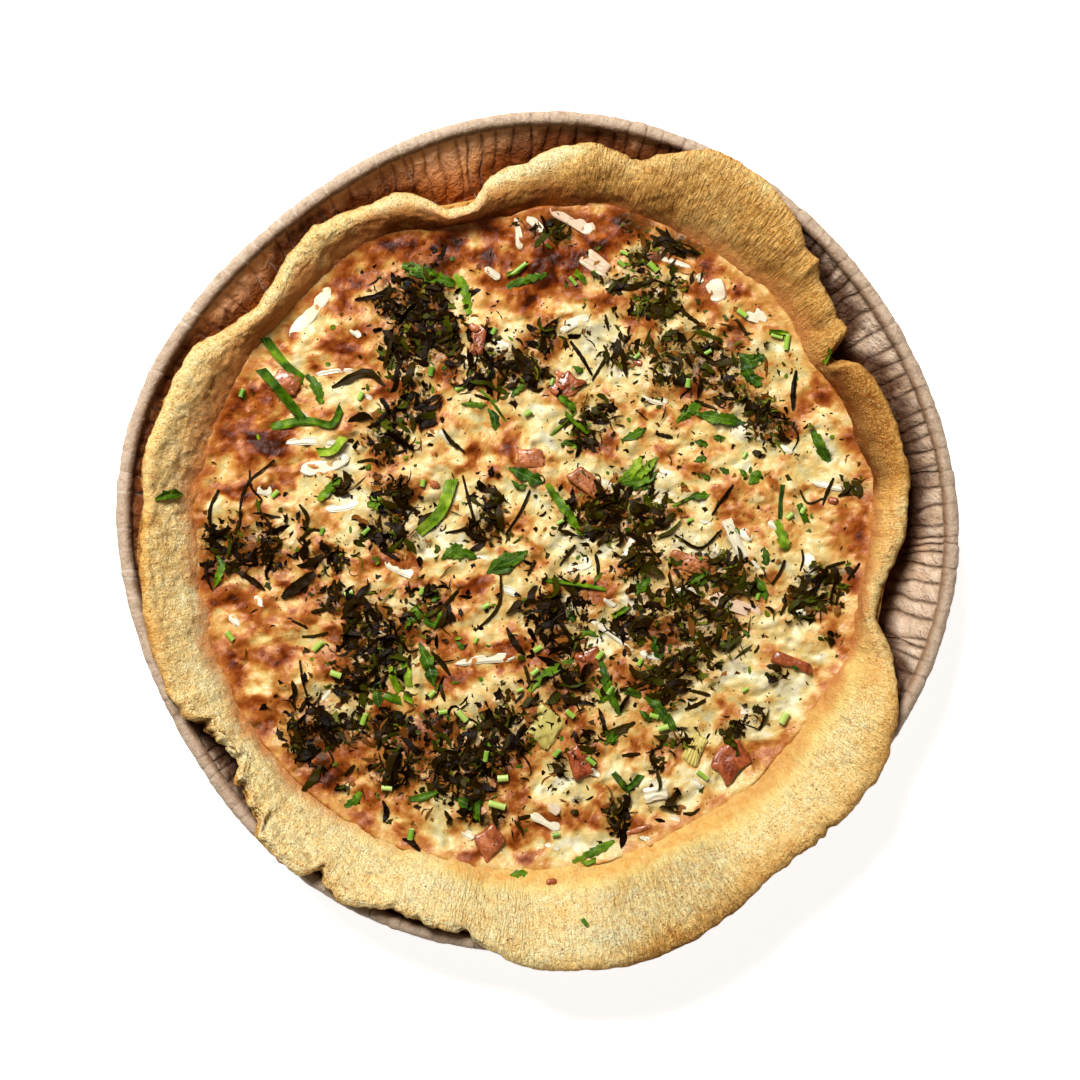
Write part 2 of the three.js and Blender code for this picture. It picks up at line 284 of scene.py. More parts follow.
# ------------------------------------------------------------------ material building
class Nodes:
    """A short way to write a node tree."""

    def __init__(self, name):
        self.mat = bpy.data.materials.new(name)
        self.mat.use_nodes = True
        self.t = self.mat.node_tree
        self.bsdf = next(n for n in self.t.nodes if n.type == "BSDF_PRINCIPLED")

    def add(self, kind, **props):
        n = self.t.nodes.new(kind)
        for k, v in props.items():
            setattr(n, k, v)
        return n

    def put(self, sock, value):
        if isinstance(value, bpy.types.NodeSocket):
            self.t.links.new(value, sock)
        else:
            sock.default_value = value

    def math(self, op, a, b=0.0, c=None, clamp=False):
        n = self.add("ShaderNodeMath", operation=op, use_clamp=clamp)
        self.put(n.inputs[0], a)
        self.put(n.inputs[1], b)
        if c is not None:
            self.put(n.inputs[2], c)
        return n.outputs[0]

    def mapr(self, v, a, b, lo=0.0, hi=1.0, smoothstep=False):
        n = self.add("ShaderNodeMapRange", clamp=True)
        if smoothstep:
            n.interpolation_type = "SMOOTHSTEP"
        for s, x in zip(n.inputs[:5], (v, a, b, lo, hi)):
            self.put(s, x)
        return n.outputs[0]

    def mix(self, f, a, b, mode="MIX"):
        n = self.add("ShaderNodeMix", data_type="RGBA", blend_type=mode, clamp_factor=True)
        self.put(n.inputs[0], f)
        self.put(n.inputs[6], a)
        self.put(n.inputs[7], b)
        return n.outputs[2]

    def attr(self, name):
        n = self.add("ShaderNodeAttribute", attribute_name=name, attribute_type="GEOMETRY")
        return n.outputs["Fac"]

    def coord(self):
        return self.add("ShaderNodeTexCoord").outputs["Object"]

    def scaled(self, vec, sx, sy, sz, rot=(0, 0, 0)):
        n = self.add("ShaderNodeMapping")
        self.put(n.inputs["Vector"], vec)
        n.inputs["Scale"].default_value = (sx, sy, sz)
        n.inputs["Rotation"].default_value = rot
        return n.outputs[0]

    def noise(self, vec, size_mm, detail=3.0, rough=0.5, distort=0.0):
        n = self.add("ShaderNodeTexNoise")
        self.put(n.inputs["Vector"], vec)
        n.inputs["Scale"].default_value = 1000.0 / size_mm
        n.inputs["Detail"].default_value = detail
        n.inputs["Roughness"].default_value = rough
        n.inputs["Distortion"].default_value = distort
        return n.outputs["Fac"]

    def voronoi(self, vec, size_mm, feature="F1", out="Distance", rnd=1.0):
        n = self.add("ShaderNodeTexVoronoi", feature=feature)
        self.put(n.inputs["Vector"], vec)
        n.inputs["Scale"].default_value = 1000.0 / size_mm
        n.inputs["Randomness"].default_value = rnd
        return n.outputs[out]

    def ramp(self, f, stops, interp="LINEAR"):
        n = self.add("ShaderNodeValToRGB")
        n.color_ramp.interpolation = interp
        els = n.color_ramp.elements
        while len(els) > 1:
            els.remove(els[-1])
        els[0].position, els[0].color = stops[0][0], stops[0][1]
        for p, c in stops[1:]:
            e = els.new(p)
            e.color = c
        self.put(n.inputs[0], f)
        return n.outputs[0]

    def bump(self, height, dist_mm, strength=1.0, normal=None):
        n = self.add("ShaderNodeBump")
        n.inputs["Strength"].default_value = strength
        n.inputs["Distance"].default_value = dist_mm * MM
        self.put(n.inputs["Height"], height)
        if normal is not None:
            self.put(n.inputs["Normal"], normal)
        return n.outputs[0]

    def done(self, color, rough, normal=None, spec=0.5, sss=None, coat=None, sheen=None, keep=1.0):
        b = self.bsdf
        if keep < 1:
            color = self.mix(1.0 - keep, color, (0, 0, 0, 1))
        self.put(b.inputs["Base Color"], color)
        self.put(b.inputs["Roughness"], rough)
        b.inputs["Specular IOR Level"].default_value = spec
        if normal is not None:
            self.put(b.inputs["Normal"], normal)
        if sss:
            b.inputs["Subsurface Weight"].default_value = sss[0]
            b.inputs["Subsurface Radius"].default_value = sss[1]
            b.inputs["Subsurface Scale"].default_value = sss[2] * MM
        if coat:
            b.inputs["Coat Weight"].default_value = coat[0]
            b.inputs["Coat Roughness"].default_value = coat[1]
        if sheen:
            b.inputs["Sheen Weight"].default_value = sheen
        return self.mat


# ------------------------------------------------------------------ the paper baking form
def pleat_layout(count=156, seed=5):
    """Angles of the valleys between the pleats, uneven as folded by a press and then handled."""
    rng = np.random.default_rng(seed)
    w = 1.0 + rng.uniform(-0.3, 0.34, count)
    w = np.where(rng.random(count) < 0.10, w * 0.55, w)
    starts = np.concatenate([[0], np.cumsum(w)[:-1]]) / w.sum() * 360
    return starts, w / w.sum() * 360


def form_material():
    m = Nodes("kraft_paper")
    oil, valley, bead, up = m.attr("oil"), m.attr("valley"), m.attr("bead"), m.attr("up")
    crease_light_and_shade, painted_glow, rub_and_highlight = m.attr("crease_light_and_shade"), m.attr("painted_glow"), m.attr("rub_and_highlight")
    lip_shadow_and_soak, pleat_highlight, bead_under_shade = m.attr("lip_shadow_and_soak"), m.attr("pleat_highlight"), m.attr("bead_under_shade")
    co = m.coord()
    big = m.noise(co, 14, 3, 0.55)
    mid = m.noise(co, 4.5, 4, 0.6)
    fine = m.noise(co, 0.9, 3, 0.65)
    fibre = m.noise(m.scaled(co, 1.0, 1.0, 0.35), 1.6, 4, 0.7, 0.6)
    # crumpling: sharp little ridges across the pleats
    turned = m.scaled(co, 1.0, 1.0, 0.9)
    fold1 = m.math("ABSOLUTE", m.math("SUBTRACT", m.noise(turned, 5.2, 2, 0.55, 0.8), 0.5))
    fold2 = m.math("ABSOLUTE", m.math("SUBTRACT", m.noise(turned, 2.3, 2, 0.55, 0.5), 0.5))
    dry = m.mix(mid, lin(148, 110, 78), lin(214, 180, 148))
    dry = m.mix(m.mapr(fine, 0.35, 0.75, 0.0, 0.8), dry, lin(210, 184, 154))
    high = m.mix(mid, lin(212, 132, 70), lin(252, 192, 130))
    low = m.mix(mid, lin(176, 80, 14), lin(216, 128, 44))
    wet = m.mix(m.mapr(m.math("ADD", up, m.math("MULTIPLY", m.math("SUBTRACT", big, 0.5), 0.6)), 0.45, 0.92), low, high)
    k = m.math("ADD", oil, m.math("MULTIPLY", m.math("SUBTRACT", big, 0.5), 0.60))
    col = m.mix(m.mapr(k, 0.15, 0.80), dry, wet)
    # the folds' tops are rubbed paler and carry a painted highlight
    col = m.mix(m.math("MULTIPLY", rub_and_highlight, m.mapr(fibre, 0.35, 0.65, 0.25, 0.75)), col, m.mix(m.mapr(k, 0.2, 0.8), lin(222, 204, 184), lin(226, 178, 136)))
    # painted highlight on the tops of the pleats
    col = m.mix(m.math("MULTIPLY", pleat_highlight, m.mapr(mid, 0.3, 0.7, 0.25, 0.60)), col, m.mix(m.mapr(k, 0.2, 0.8), lin(236, 216, 194), lin(238, 176, 122)))
    # painted highlight along the crumple ridges
    sharp = m.math("MAXIMUM", m.mapr(fold1, 0.030, 0.0), m.math("MULTIPLY", m.mapr(fold2, 0.028, 0.0), 0.6))
    col = m.mix(m.math("MULTIPLY", sharp, m.mapr(mid, 0.35, 0.65, 0.15, 0.75)), col, m.mix(m.mapr(k, 0.2, 0.8), lin(232, 214, 196), lin(232, 176, 128)))
    edge = m.mix(mid, lin(158, 130, 104), lin(210, 190, 168))
    edge = m.mix(m.mapr(fibre, 0.48, 0.72, 0.0, 0.75), edge, lin(136, 108, 84))
    edge = m.mix(m.mapr(fine, 0.52, 0.72, 0.0, 0.5), edge, lin(222, 206, 186))
    # painted shade on the inner underside of the rolled rim
    edge = m.mix(m.math("MULTIPLY", bead_under_shade, m.mapr(mid, 0.3, 0.7, 0.92, 0.62)), edge, m.mix(m.mapr(k, 0.2, 0.8), lin(138, 100, 68), lin(118, 68, 34)))
    col = m.mix(bead, col, edge)
    # painted glow: warm orange light painted on the back wall, which faces away from the lamp
    warm = m.math("MULTIPLY", m.math("MULTIPLY", painted_glow, m.math("SUBTRACT", 1.0, bead)), m.mapr(fibre, 0.3, 0.7, 0.10, 0.60))
    col = m.mix(warm, col, lin(255, 172, 104))
    # painted shadow of the pastry's lip on the wall, and fat soaked into the paper
    col = m.mix(m.math("MULTIPLY", lip_shadow_and_soak, m.mapr(fibre, 0.3, 0.7, 1.0, 0.82)), col, m.mix(m.mapr(k, 0.3, 0.9), lin(64, 26, 2), lin(140, 62, 4)))
    # painted shade in the pleat valleys: strong on the wall, weak on the rolled rim, less where the back wall has its
    # painted glow
    valley_shade_depth = m.math("MULTIPLY", m.mix(bead, (0.78, 0.78, 0.78, 1), (0.10, 0.10, 0.10, 1)), m.math("SUBTRACT", 1.0, m.math("MULTIPLY", painted_glow, 0.62)))
    col = m.mix(m.math("MULTIPLY", valley, valley_shade_depth), col, m.mix(m.mapr(k, 0.2, 0.8), lin(64, 36, 18), lin(96, 40, 10)))
    # thin crease lines: a painted highlight on the back wall, painted shade everywhere else
    line = m.mix(painted_glow, lin(84, 54, 32), lin(246, 234, 216))
    col = m.mix(m.math("MULTIPLY", crease_light_and_shade, m.mapr(fibre, 0.36, 0.56, 0.25, 0.85)), col, line)
    spots = m.mapr(m.noise(co, 2.2, 2, 0.5), 0.68, 0.78)
    col = m.mix(m.math("MULTIPLY", spots, 0.25), col, lin(110, 72, 44))
    rough = m.mapr(k, 0.2, 0.9, 0.62, 0.42)
    h = m.math("ADD", m.math("MULTIPLY", fibre, 0.8), m.math("MULTIPLY", fine, 0.4))
    plain = m.math("SUBTRACT", 1.0, m.math("MULTIPLY", bead, 0.8))
    h = m.math("SUBTRACT", h, m.math("MULTIPLY", m.math("MULTIPLY", fold1, plain), 3.0))
    h = m.math("SUBTRACT", h, m.math("MULTIPLY", m.math("MULTIPLY", fold2, plain), 1.4))
    nrm = m.bump(h, 0.75, 0.8)
    # darkened by 0.22 all over; not at all on the back wall with its painted glow, where this paints light; by 0.44 on
    # the outside
    held = m.math("SUBTRACT", 0.22, m.math("MULTIPLY", m.math("MULTIPLY", painted_glow, m.math("SUBTRACT", 1.0, bead)), 0.30))
    held = m.math("ADD", held, m.math("MULTIPLY", m.attr("outer"), 0.22))
    col = m.mix(m.math("MAXIMUM", held, 0.0), col, (0, 0, 0, 1))
    return m.done(col, rough, nrm, spec=0.16)


def build_form():
    starts, widths = pleat_layout()
    rng = np.random.default_rng(12)
    cnt = len(starts)
    w_in = np.array([0.0, 0.045, 0.13, 0.30, 0.50, 0.70, 0.87, 0.955])
    th0 = (starts[:, None] + widths[:, None] * w_in[None, :]).ravel()
    n = len(th0)
    w = np.tile(w_in, cnt)
    pillow = np.sin(np.pi * np.clip(w, 0, 1)) ** 0.50
    ridge = np.repeat(rng.uniform(0.55, 1.25, cnt), len(w_in))  # how far each pleat stands out
    lean = np.repeat(rng.uniform(-1, 1, cnt), len(w_in)) * (w - 0.5)  # one side of a pleat higher than the other
    near = np.minimum(w, 1 - w) * np.repeat(widths, len(w_in))
    valley = np.exp(-(near / 0.27) ** 2)
    thin = np.exp(-(near / 0.115) ** 2)
    slant = loop_smooth(np.repeat(rng.uniform(-1.7, 1.7, cnt), len(w_in)), 31) - 1.4 * zone(th0, 95, 200, 30)
    own = np.arange(cnt)
    k_in = len(w_in)

    def wander(u):
        """Each valley runs its own crooked way down the wall."""
        s = 0.80 * noise2(own * 7.31 + 0.5, np.full(cnt, u * 3.1), 812) + 0.42 * noise2(own * 3.17 + 0.5, np.full(cnt, u * 8.0), 813)
        s = s * min(1.0, 4.0 * max(0.0, 1.0 - u))
        return (s[:, None] * (1 - w_in)[None] + np.roll(s, -1)[:, None] * w_in[None]).ravel()

    def th_of(u):
        return th0 + slant * (u - 0.5) + wander(u)

    marks = np.repeat(np.where(rng.random(cnt) < 0.68, rng.uniform(0.45, 1.0, cnt), 0.08), k_in)
    marks = np.where(w < 0.5, marks, np.roll(marks, -k_in))
    tilt = np.repeat(rng.uniform(-0.75, 0.75, cnt), k_in)
    tilt = mix(tilt, np.roll(tilt, -k_in), w)
    rim = rim_r(th0)

    rows, tag_up, tag_bead, inner, rub_and_highlight_rows, lines, bead_under_shades = [], [], [], [], [], [], []

    def put(r, z, u, bead, side, turn=0.0, rub_and_highlight=0.0, line=0.0, bead_under_shade=0.0):
        bead_under_shades.append(bead_under_shade)
        rows.append((np.broadcast_to(r, (n,)), np.broadcast_to(z, (n,)), th_of(min(u, 1.0)) + turn))
        rub_and_highlight_rows.append(np.broadcast_to(rub_and_highlight, (n,)))
        lines.append(np.broadcast_to(line, (n,)))
        tag_up.append(u)
        tag_bead.append(bead)
        inner.append(side)

    def crinkle(u, seed):
        """Crumpling: sharp little ridges across the pleats."""
        arc, up_ = np.radians(th_of(u)) * 116, np.full(n, u * 34.0)
        bend = 1.6 * fbm2(arc / 6, up_ / 6, 2, seed + 3)
        a = 0.50 - 1.30 * np.abs(fbm2(arc / 7.0, (up_ + bend) / 3.4, 2, seed))
        a = a * 0.62 + 0.30 * (0.4 - np.abs(fbm2(arc / 3.0, (up_ - bend) / 2.3, 2, seed + 9)))
        return a * (1 - smooth(0.93, 1.0, u))

    amp = lambda u: mix(0.30, 1.10, smooth(0.0, 0.75, u))  # noqa: E731
    for r in (34.0, 70.0, 94.0):
        put(r, 0.0, 0.0, 0, 0)
    put(98.0 + 0.2 * pillow, 0.05, 0.02, 0, 0)
    for u in np.linspace(0.03, 0.985, 15):  # outer wall, going up
        bulge = 1.6 * math.sin(math.pi * u) * 0.6
        r = mix(98.9, rim - 2.9, u**0.97) - bulge
        c = crinkle(u, 3)
        put(r - amp(u) * ridge * (pillow + 0.35 * lean - 0.55) + c, 0.7 + 28.8 * u, u, smooth(0.93, 1.0, u), 0,
            rub_and_highlight=smooth(0.10, 0.45, c) * 0.7, line=thin * marks * smooth(-0.2, 0.5, noise2(own.repeat(k_in) * 3.3, np.full(n, u * 5.0), 8)) * 0.6)
    beadr = 2.32
    seg = np.repeat(rng.uniform(-0.07, 0.07, cnt), len(w_in))
    wob = fbm2(th0 * 0.5, th0 * 0 + 3, 3, 77) * 0.16
    for k, a in enumerate(np.linspace(-72, 218, 15)):
        ar = math.radians(a)
        rr = beadr + loop_smooth(seg, 7) * 0.8 + wob - 0.13 * thin * marks - 0.05 * valley + 0.10 * fbm2(th0 * 1.3, np.full(n, k * 0.5), 2, 50)
        rr = rr - 0.30 * math.exp(-(((a - 150) / 15) ** 2))  # the rolled edge tucks in
        put(rim - beadr + rr * math.cos(ar), FORM_H - beadr + np.minimum(rr * math.sin(ar), beadr), 1.0, 1, 0 if a < 90 else 1,
            turn=tilt * (k / 14 - 0.5), bead_under_shade=float(smooth(84, 176, a)), line=thin * marks * np.clip(0.75 + 0.6 * noise2(own.repeat(k_in) * 5.1, np.full(n, k * 0.35), 9), 0, 1))
    for u in np.linspace(0.985, 0.04, 30):  # inner wall, going down
        bulge = 1.6 * math.sin(math.pi * u) * 0.6
        r = mix(97.9, rim - 3.9, u**0.97) - bulge
        c = crinkle(u, 3)
        put(r - amp(u) * ridge * (pillow + 0.35 * lean - 0.55) + c, 1.1 + 28.6 * u, u, smooth(0.965, 1.0, u) * 0.6, 1,
            rub_and_highlight=smooth(-0.05, -0.50, c) * 0.8, line=thin * marks * smooth(-0.2, 0.5, noise2(own.repeat(k_in) * 3.3, np.full(n, u * 5.0), 8)) * 0.7)
    put(97.4 + 0.2 * pillow, 0.85, 0.02, 0, 1)
    for r in (93.0, 70.0, 34.0):
        put(r, 0.8, 0.0, 0, 1)

    R = np.array([x[0] for x in rows])
    Z = np.array([x[1] for x in rows])
    TH = np.radians(np.array([x[2] for x in rows]))
    V = np.stack([R * np.cos(TH), R * np.sin(TH), Z], -1)
    nr = len(rows)
    verts = np.concatenate([V.reshape(-1, 3), [[0, 0, 0.0], [0, 0, 0.8]]])
    faces = ring_faces(nr, n)
    caps = np.concatenate([cap_faces(0, n, nr * n, True), cap_faces((nr - 1) * n, n, nr * n + 1)])
    up = np.repeat(tag_up, n)
    bead = np.repeat(tag_bead, n).astype(float)
    thd = np.degrees(TH).ravel()
    side = np.repeat(inner, n)
    # how strong the painted valley shade is: more towards the top of the wall
    val = np.tile(valley, nr) * np.where(bead > 0.5, 0.8, 0.55 + 0.45 * np.clip(up, 0, 1))
    # soaked with fat where the pastry lies against it, more on the far side of the pie
    soak = 0.80 * zone(thd, 58, 208, 26) + 0.20 * zone(thd, 310, 425, 40)
    low = smooth(0.95, 0.35, up)
    oil = np.clip(soak * (0.75 + 0.4 * low) + 0.45 * low * low, 0, 1) * np.where(side > 0, 1, 0.05)
    arc = np.radians(thd) * 118
    # seen from above the wall starts some way outside the lip; next to the lip the wall gets a painted shadow of it,
    # darkened by soaked fat as well
    away = R.ravel() - edge_r(thd) - 2.6 + 1.5 * fbm2(arc / 3, Z.ravel() / 8, 3, 611)
    lip_shadow_and_soak = smooth(1.0, 0.10, away / (4.2 + 7.6 * zone(thd, 86, 116, 12) + 3.0 * zone(thd, 340, 402, 6))) * side * (1 - bead)
    # where the painted pleat highlight goes: the pleats' tops up the wall, not on the rim or in the painted lip shadow
    pleat_highlight = np.tile(pillow**2 * np.clip(0.7 + 0.5 * np.repeat(rng.uniform(-1, 1, cnt), k_in), 0, 1), nr) * (1 - bead) * (1 - lip_shadow_and_soak) * smooth(0.1, 0.6, up)
    z = np.zeros(2)
    attrs = {
        "rub_and_highlight": np.concatenate([np.array(rub_and_highlight_rows).ravel(), z]), "crease_light_and_shade": np.concatenate([np.array(lines).ravel(), z]),
        # the back wall, 100-196 degrees, gets the painted glow
        "painted_glow": np.concatenate([0.9 * zone(thd, 100, 196, 24) * np.maximum(side, bead), z]),
        "outer": np.concatenate([(1 - side) * (1 - bead), z]),
        "valley": np.concatenate([val, z]), "bead": np.concatenate([bead, z]),
        "up": np.concatenate([up, z]), "oil": np.concatenate([oil, z + 0.6]), "lip_shadow_and_soak": np.concatenate([lip_shadow_and_soak, z]),
        "pleat_highlight": np.concatenate([pleat_highlight, z]), "bead_under_shade": np.concatenate([np.repeat(bead_under_shades, n), z]),
    }
    ob = make_mesh("form_paper", verts, [faces, caps], True, attrs, form_material())
    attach(ob, "root")
    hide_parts("baking_form")
    return ob


# ------------------------------------------------------------------ outlines with their small detail
FOOT_PX = [
    (0, 328), (10, 337), (20, 331), (30, 322), (35, 318), (40, 328), (50, 332), (65, 332), (80, 335), (90, 325),
    (100, 320), (110, 326), (115, 338), (120, 340), (130, 336), (140, 336), (150, 341), (160, 342), (170, 342),
    (180, 341), (190, 341), (200, 340), (210, 340), (220, 341), (230, 339), (240, 339), (250, 334), (260, 332),
    (270, 330), (280, 328), (290, 323), (300, 322), (310, 322), (320, 320), (330, 322), (340, 328), (350, 326),
]
_fa = np.arange(0, 360, 0.5)
_fr = np.interp(_fa, [a for a, _ in FOOT_PX], [r * 0.31469 for _, r in FOOT_PX], period=360)
_fr = loop_smooth(_fr, 7)


def foot_r(th):
    th = np.asarray(th, float)
    return np.interp(th, _fa, _fr, period=360) + 0.45 * fbm2(
        np.cos(np.radians(th)) * 14, np.sin(np.radians(th)) * 14, 3, 21)


# small corrections of the lip's outline, degrees and 1080-frame pixels
LIP_PX = [
    (0, 3), (4, 2), (8, 6), (15, 5), (20, 6), (25, 3), (28, 5), (31, 0), (35, 4), (40, 4), (45, 7), (47.5, -2), (50, 0), (66, 0),
    (70, -2), (73, 4), (75, 0), (77, 3), (80, 2), (84, 0), (92, 0), (95, 7), (98, 9), (99.5, 2), (101, -3), (104, -2), (106, -6),
    (108, -5), (110, -4), (113, -2), (120, 0), (130, 2), (135, 3), (142, 2), (150, -2), (155, -4), (160, 2), (165, -2), (169, 0),
    (175, 2), (180, 3), (190, -2), (195, -4), (200, -2), (206, 1), (212, -5), (217, -6), (219, 4), (222, -2), (228, 2), (235, 0),
    (245, 4), (249, 2), (255, 5), (258, -1), (262, 0), (275, 1), (282, -2), (290, -1), (295, -4), (305, -4), (310, 0), (328, -2),
    (332, -4), (336, -3), (340, 0), (343, -4), (346, -6), (349, -2), (354, -1), (358, 0),
]
# the torn fold on the right: the lower lip ends in a notch and the upper flap starts in a rolled nub
NUB = [(22.5, 371), (25.7, 368.6), (28.9, 361), (30.5, 351), (31.3, 344), (32.0, 347), (32.6, 360), (33.3, 368),
       (34.3, 371.5), (35.3, 371), (38.2, 374), (41.8, 375), (46, 389), (49, 401)]
CHIPS = [(205.6, 0.4, -0.9), (208.9, 0.65, -2.8), (218.2, 1.1, 0.9), (219.9, 0.35, -1.1),
         (225.0, 0.7, -1.6), (236.7, 0.65, -3.4), (248.3, 0.5, -0.9), (259.4, 0.5, -2.2), (314.7, 0.45, -1.1),
         (312.9, 0.35, -0.7), (124.5, 0.6, -0.8), (76.5, 0.5, -0.7), (36.4, 0.4, -0.6), (352.0, 0.6, -0.5)]


def broken(th):
    """How cracked and flaky the pastry's lip is, round the pie."""
    return np.clip(zone(th, 203, 229, 5) + 0.55 * zone(th, 229, 262, 6) + 0.35 * zone(th, 306, 319, 6)
                   + 0.25 * zone(th, 118, 160, 12) + 0.15 * zone(th, 180, 203, 8), 0, 1)


def edge_r(th):
    e = edge_base(th)
    k = np.interp(th, [a for a, _ in NUB], [r * 0.3108 * (834 - 34.5) / 800 for _, r in NUB])
    on = zone(th, 23.5, 47.5, 3.0)
    e = mix(e, k, on)
    cx, cy = np.cos(np.radians(th)), np.sin(np.radians(th))
    e = e + 0.32 * fbm2(cx * 22, cy * 22, 3, 61)
    e = e + broken(th) * (0.55 * fbm2(cx * 55, cy * 55, 3, 64) + 1.1 * np.minimum(fbm2(cx * 19 + 4, cy * 19, 2, 65), 0.2))
    for at, width, reach in CHIPS:
        e = e + reach * bell(th, at, width)
    return e + 0.311 * np.interp(np.asarray(th, float) % 360, [a for a, _ in LIP_PX], [r for _, r in LIP_PX], period=360)


build_form()


# ------------------------------------------------------------------ pastry
def pastry_material():
    m = Nodes("baked_pastry")
    bake_and_painted_light, film, crack_shade, red, wr, amber_and_painted_glow = (m.attr(k) for k in ("bake_and_painted_light", "film", "crack_shade", "red", "wrinkle", "amber_and_painted_glow"))
    co = m.coord()
    big = m.noise(co, 19, 3, 0.55)
    mid = m.noise(co, 5.5, 4, 0.6)
    grain = m.noise(co, 0.55, 3, 0.75)
    grit = m.voronoi(co, 0.42, "F1", "Color")
    sep = m.add("ShaderNodeSeparateColor")
    m.put(sep.inputs[0], grit)
    bit = sep.outputs[0]
    t = m.math("ADD", bake_and_painted_light, m.math("MULTIPLY", m.math("SUBTRACT", big, 0.5), 0.50))
    t = m.math("ADD", t, m.math("MULTIPLY", m.math("SUBTRACT", mid, 0.5), 0.66))
    t = m.math("ADD", t, m.math("MULTIPLY", m.math("SUBTRACT", m.noise(co, 2.6, 3, 0.6, 0.4), 0.5), 0.36))
    t = m.math("ADD", m.math("MULTIPLY", t, 0.84), 0.15)
    t = m.math("ADD", t, m.math("MULTIPLY", m.math("SUBTRACT", m.noise(co, 2.6, 3, 0.6, 0.4), 0.5), 0.42))
    col = m.ramp(t, [
        (0.00, lin(255, 244, 190)), (0.15, lin(255, 233, 165)), (0.32, lin(255, 218, 138)), (0.51, lin(240, 190, 108)),
        (0.68, lin(210, 154, 76)), (0.85, lin(166, 106, 40)), (1.00, lin(124, 64, 12)),
    ])
    # orange laid on: a painted glow on the shaded inner slope at the back left, the pastry's own orange elsewhere
    col = m.mix(m.math("MULTIPLY", amber_and_painted_glow, m.mapr(mid, 0.3, 0.7, 0.5, 0.9)), col, lin(232, 152, 58))
    # wholemeal grain: flour specks light and dark
    lit = m.mix(m.mapr(bake_and_painted_light, 0.05, 0.50), lin(255, 244, 194), lin(240, 188, 104))
    col = m.mix(m.mapr(grain, 0.50, 0.70, 0.0, 0.48), col, lit)
    col = m.mix(m.mapr(grain, 0.46, 0.32, 0.0, 0.52), col, lin(182, 108, 34))
    col = m.mix(m.math("MULTIPLY", m.mapr(grain, 0.50, 0.62), m.mapr(bake_and_painted_light, 0.22, 0.55, 0.0, 0.38)), col, lin(250, 208, 134))
    grain2 = m.noise(co, 1.9, 4, 0.7)
    col = m.mix(m.mapr(grain2, 0.47, 0.33, 0.0, 0.42), col, lin(178, 104, 32))
    col = m.mix(m.mapr(bit, 0.72, 1.0, 0.0, 0.58), col, lin(178, 106, 34))
    col = m.mix(m.mapr(bit, 0.45, 0.0, 0.0, 0.50), col, lit)
    col = m.mix(m.mapr(bit, 0.965, 0.975, 0.0, 0.22), col, lin(130, 72, 20))
    speck = m.voronoi(co, 5.2, "F1", "Distance")
    col = m.mix(m.math("MULTIPLY", m.mapr(speck, 0.055, 0.035), 0.42), col, lin(124, 66, 22))
    blot = m.math("MULTIPLY", m.mapr(m.noise(co, 3.4, 3, 0.65, 0.5), 0.56, 0.68), m.mapr(bake_and_painted_light, 0.15, 0.7, 0.0, 0.55))
    col = m.mix(blot, col, lin(134, 78, 26))
    # the egg that has run up the inside and browned
    egg = m.mix(m.mapr(m.math("ADD", film, m.math("MULTIPLY", m.math("SUBTRACT", m.noise(co, 3.2, 3, 0.6), 0.5), 0.9)), 0.58, 1.18), lin(255, 226, 138), lin(232, 168, 82))
    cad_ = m.math("MULTIPLY", film, m.mapr(m.noise(co, 2.4, 4, 0.65), 0.22, 0.6, 0.55, 1.0))
    col = m.mix(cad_, col, egg)
    # reddish-brown band along the filling; at the back, 84-122 degrees, it is wider and also paints the shade of the
    # inner slope
    red_band_and_shade = m.mix(m.mapr(bake_and_painted_light, 0.55, 0.90), m.mix(mid, lin(188, 108, 50), lin(232, 158, 92)), m.mix(mid, lin(84, 34, 4), lin(140, 68, 16)))
    rk = m.math("MULTIPLY", red, m.mapr(m.math("ADD", m.noise(co, 5.5, 4, 0.6), m.math("MULTIPLY", bit, 0.12)), 0.28, 0.58, 0.40, 1.0))
    col = m.mix(rk, col, red_band_and_shade)
    # painted shade in the cracks, pits and the torn fold
    col = m.mix(m.math("MULTIPLY", crack_shade, 0.75), col, lin(112, 62, 20))
    # stretch marks that run outwards over the folds
    xyz = m.add("ShaderNodeSeparateXYZ")
    m.put(xyz.inputs[0], co)
    ang = m.math("ARCTAN2", xyz.outputs[1], xyz.outputs[0])
    rad = m.math("POWER", m.math("ADD", m.math("MULTIPLY", xyz.outputs[0], xyz.outputs[0]),
                                 m.math("MULTIPLY", xyz.outputs[1], xyz.outputs[1])), 0.5)
    comb = m.add("ShaderNodeCombineXYZ")
    m.put(comb.inputs[0], m.math("MULTIPLY", ang, 0.120))
    m.put(comb.inputs[1], m.math("MULTIPLY", rad, 0.22))
    lines = m.noise(comb.outputs[0], 0.85, 3, 0.6, 0.5)
    col = m.mix(m.math("MULTIPLY", m.math("MULTIPLY", wr, m.mapr(lines, 0.50, 0.34)), m.mapr(bake_and_painted_light, 0.1, 0.6, 0.20, 0.72)), col, lin(146, 84, 28))
    h = m.math("ADD", m.math("MULTIPLY", grain, 0.9), m.math("MULTIPLY", bit, 0.28))
    h = m.math("ADD", h, m.math("MULTIPLY", grain2, 0.55))
    h = m.math("ADD", h, m.math("MULTIPLY", m.math("MULTIPLY", lines, wr), 3.0))
    h = m.math("ADD", h, m.math("MULTIPLY", m.noise(co, 2.4, 3, 0.6), 0.8))
    nrm = m.bump(h, 1.10, 1.10)
    rough = m.math("SUBTRACT", 0.76, m.math("MULTIPLY", film, 0.25))
    return m.done(col, rough, nrm, spec=0.04)


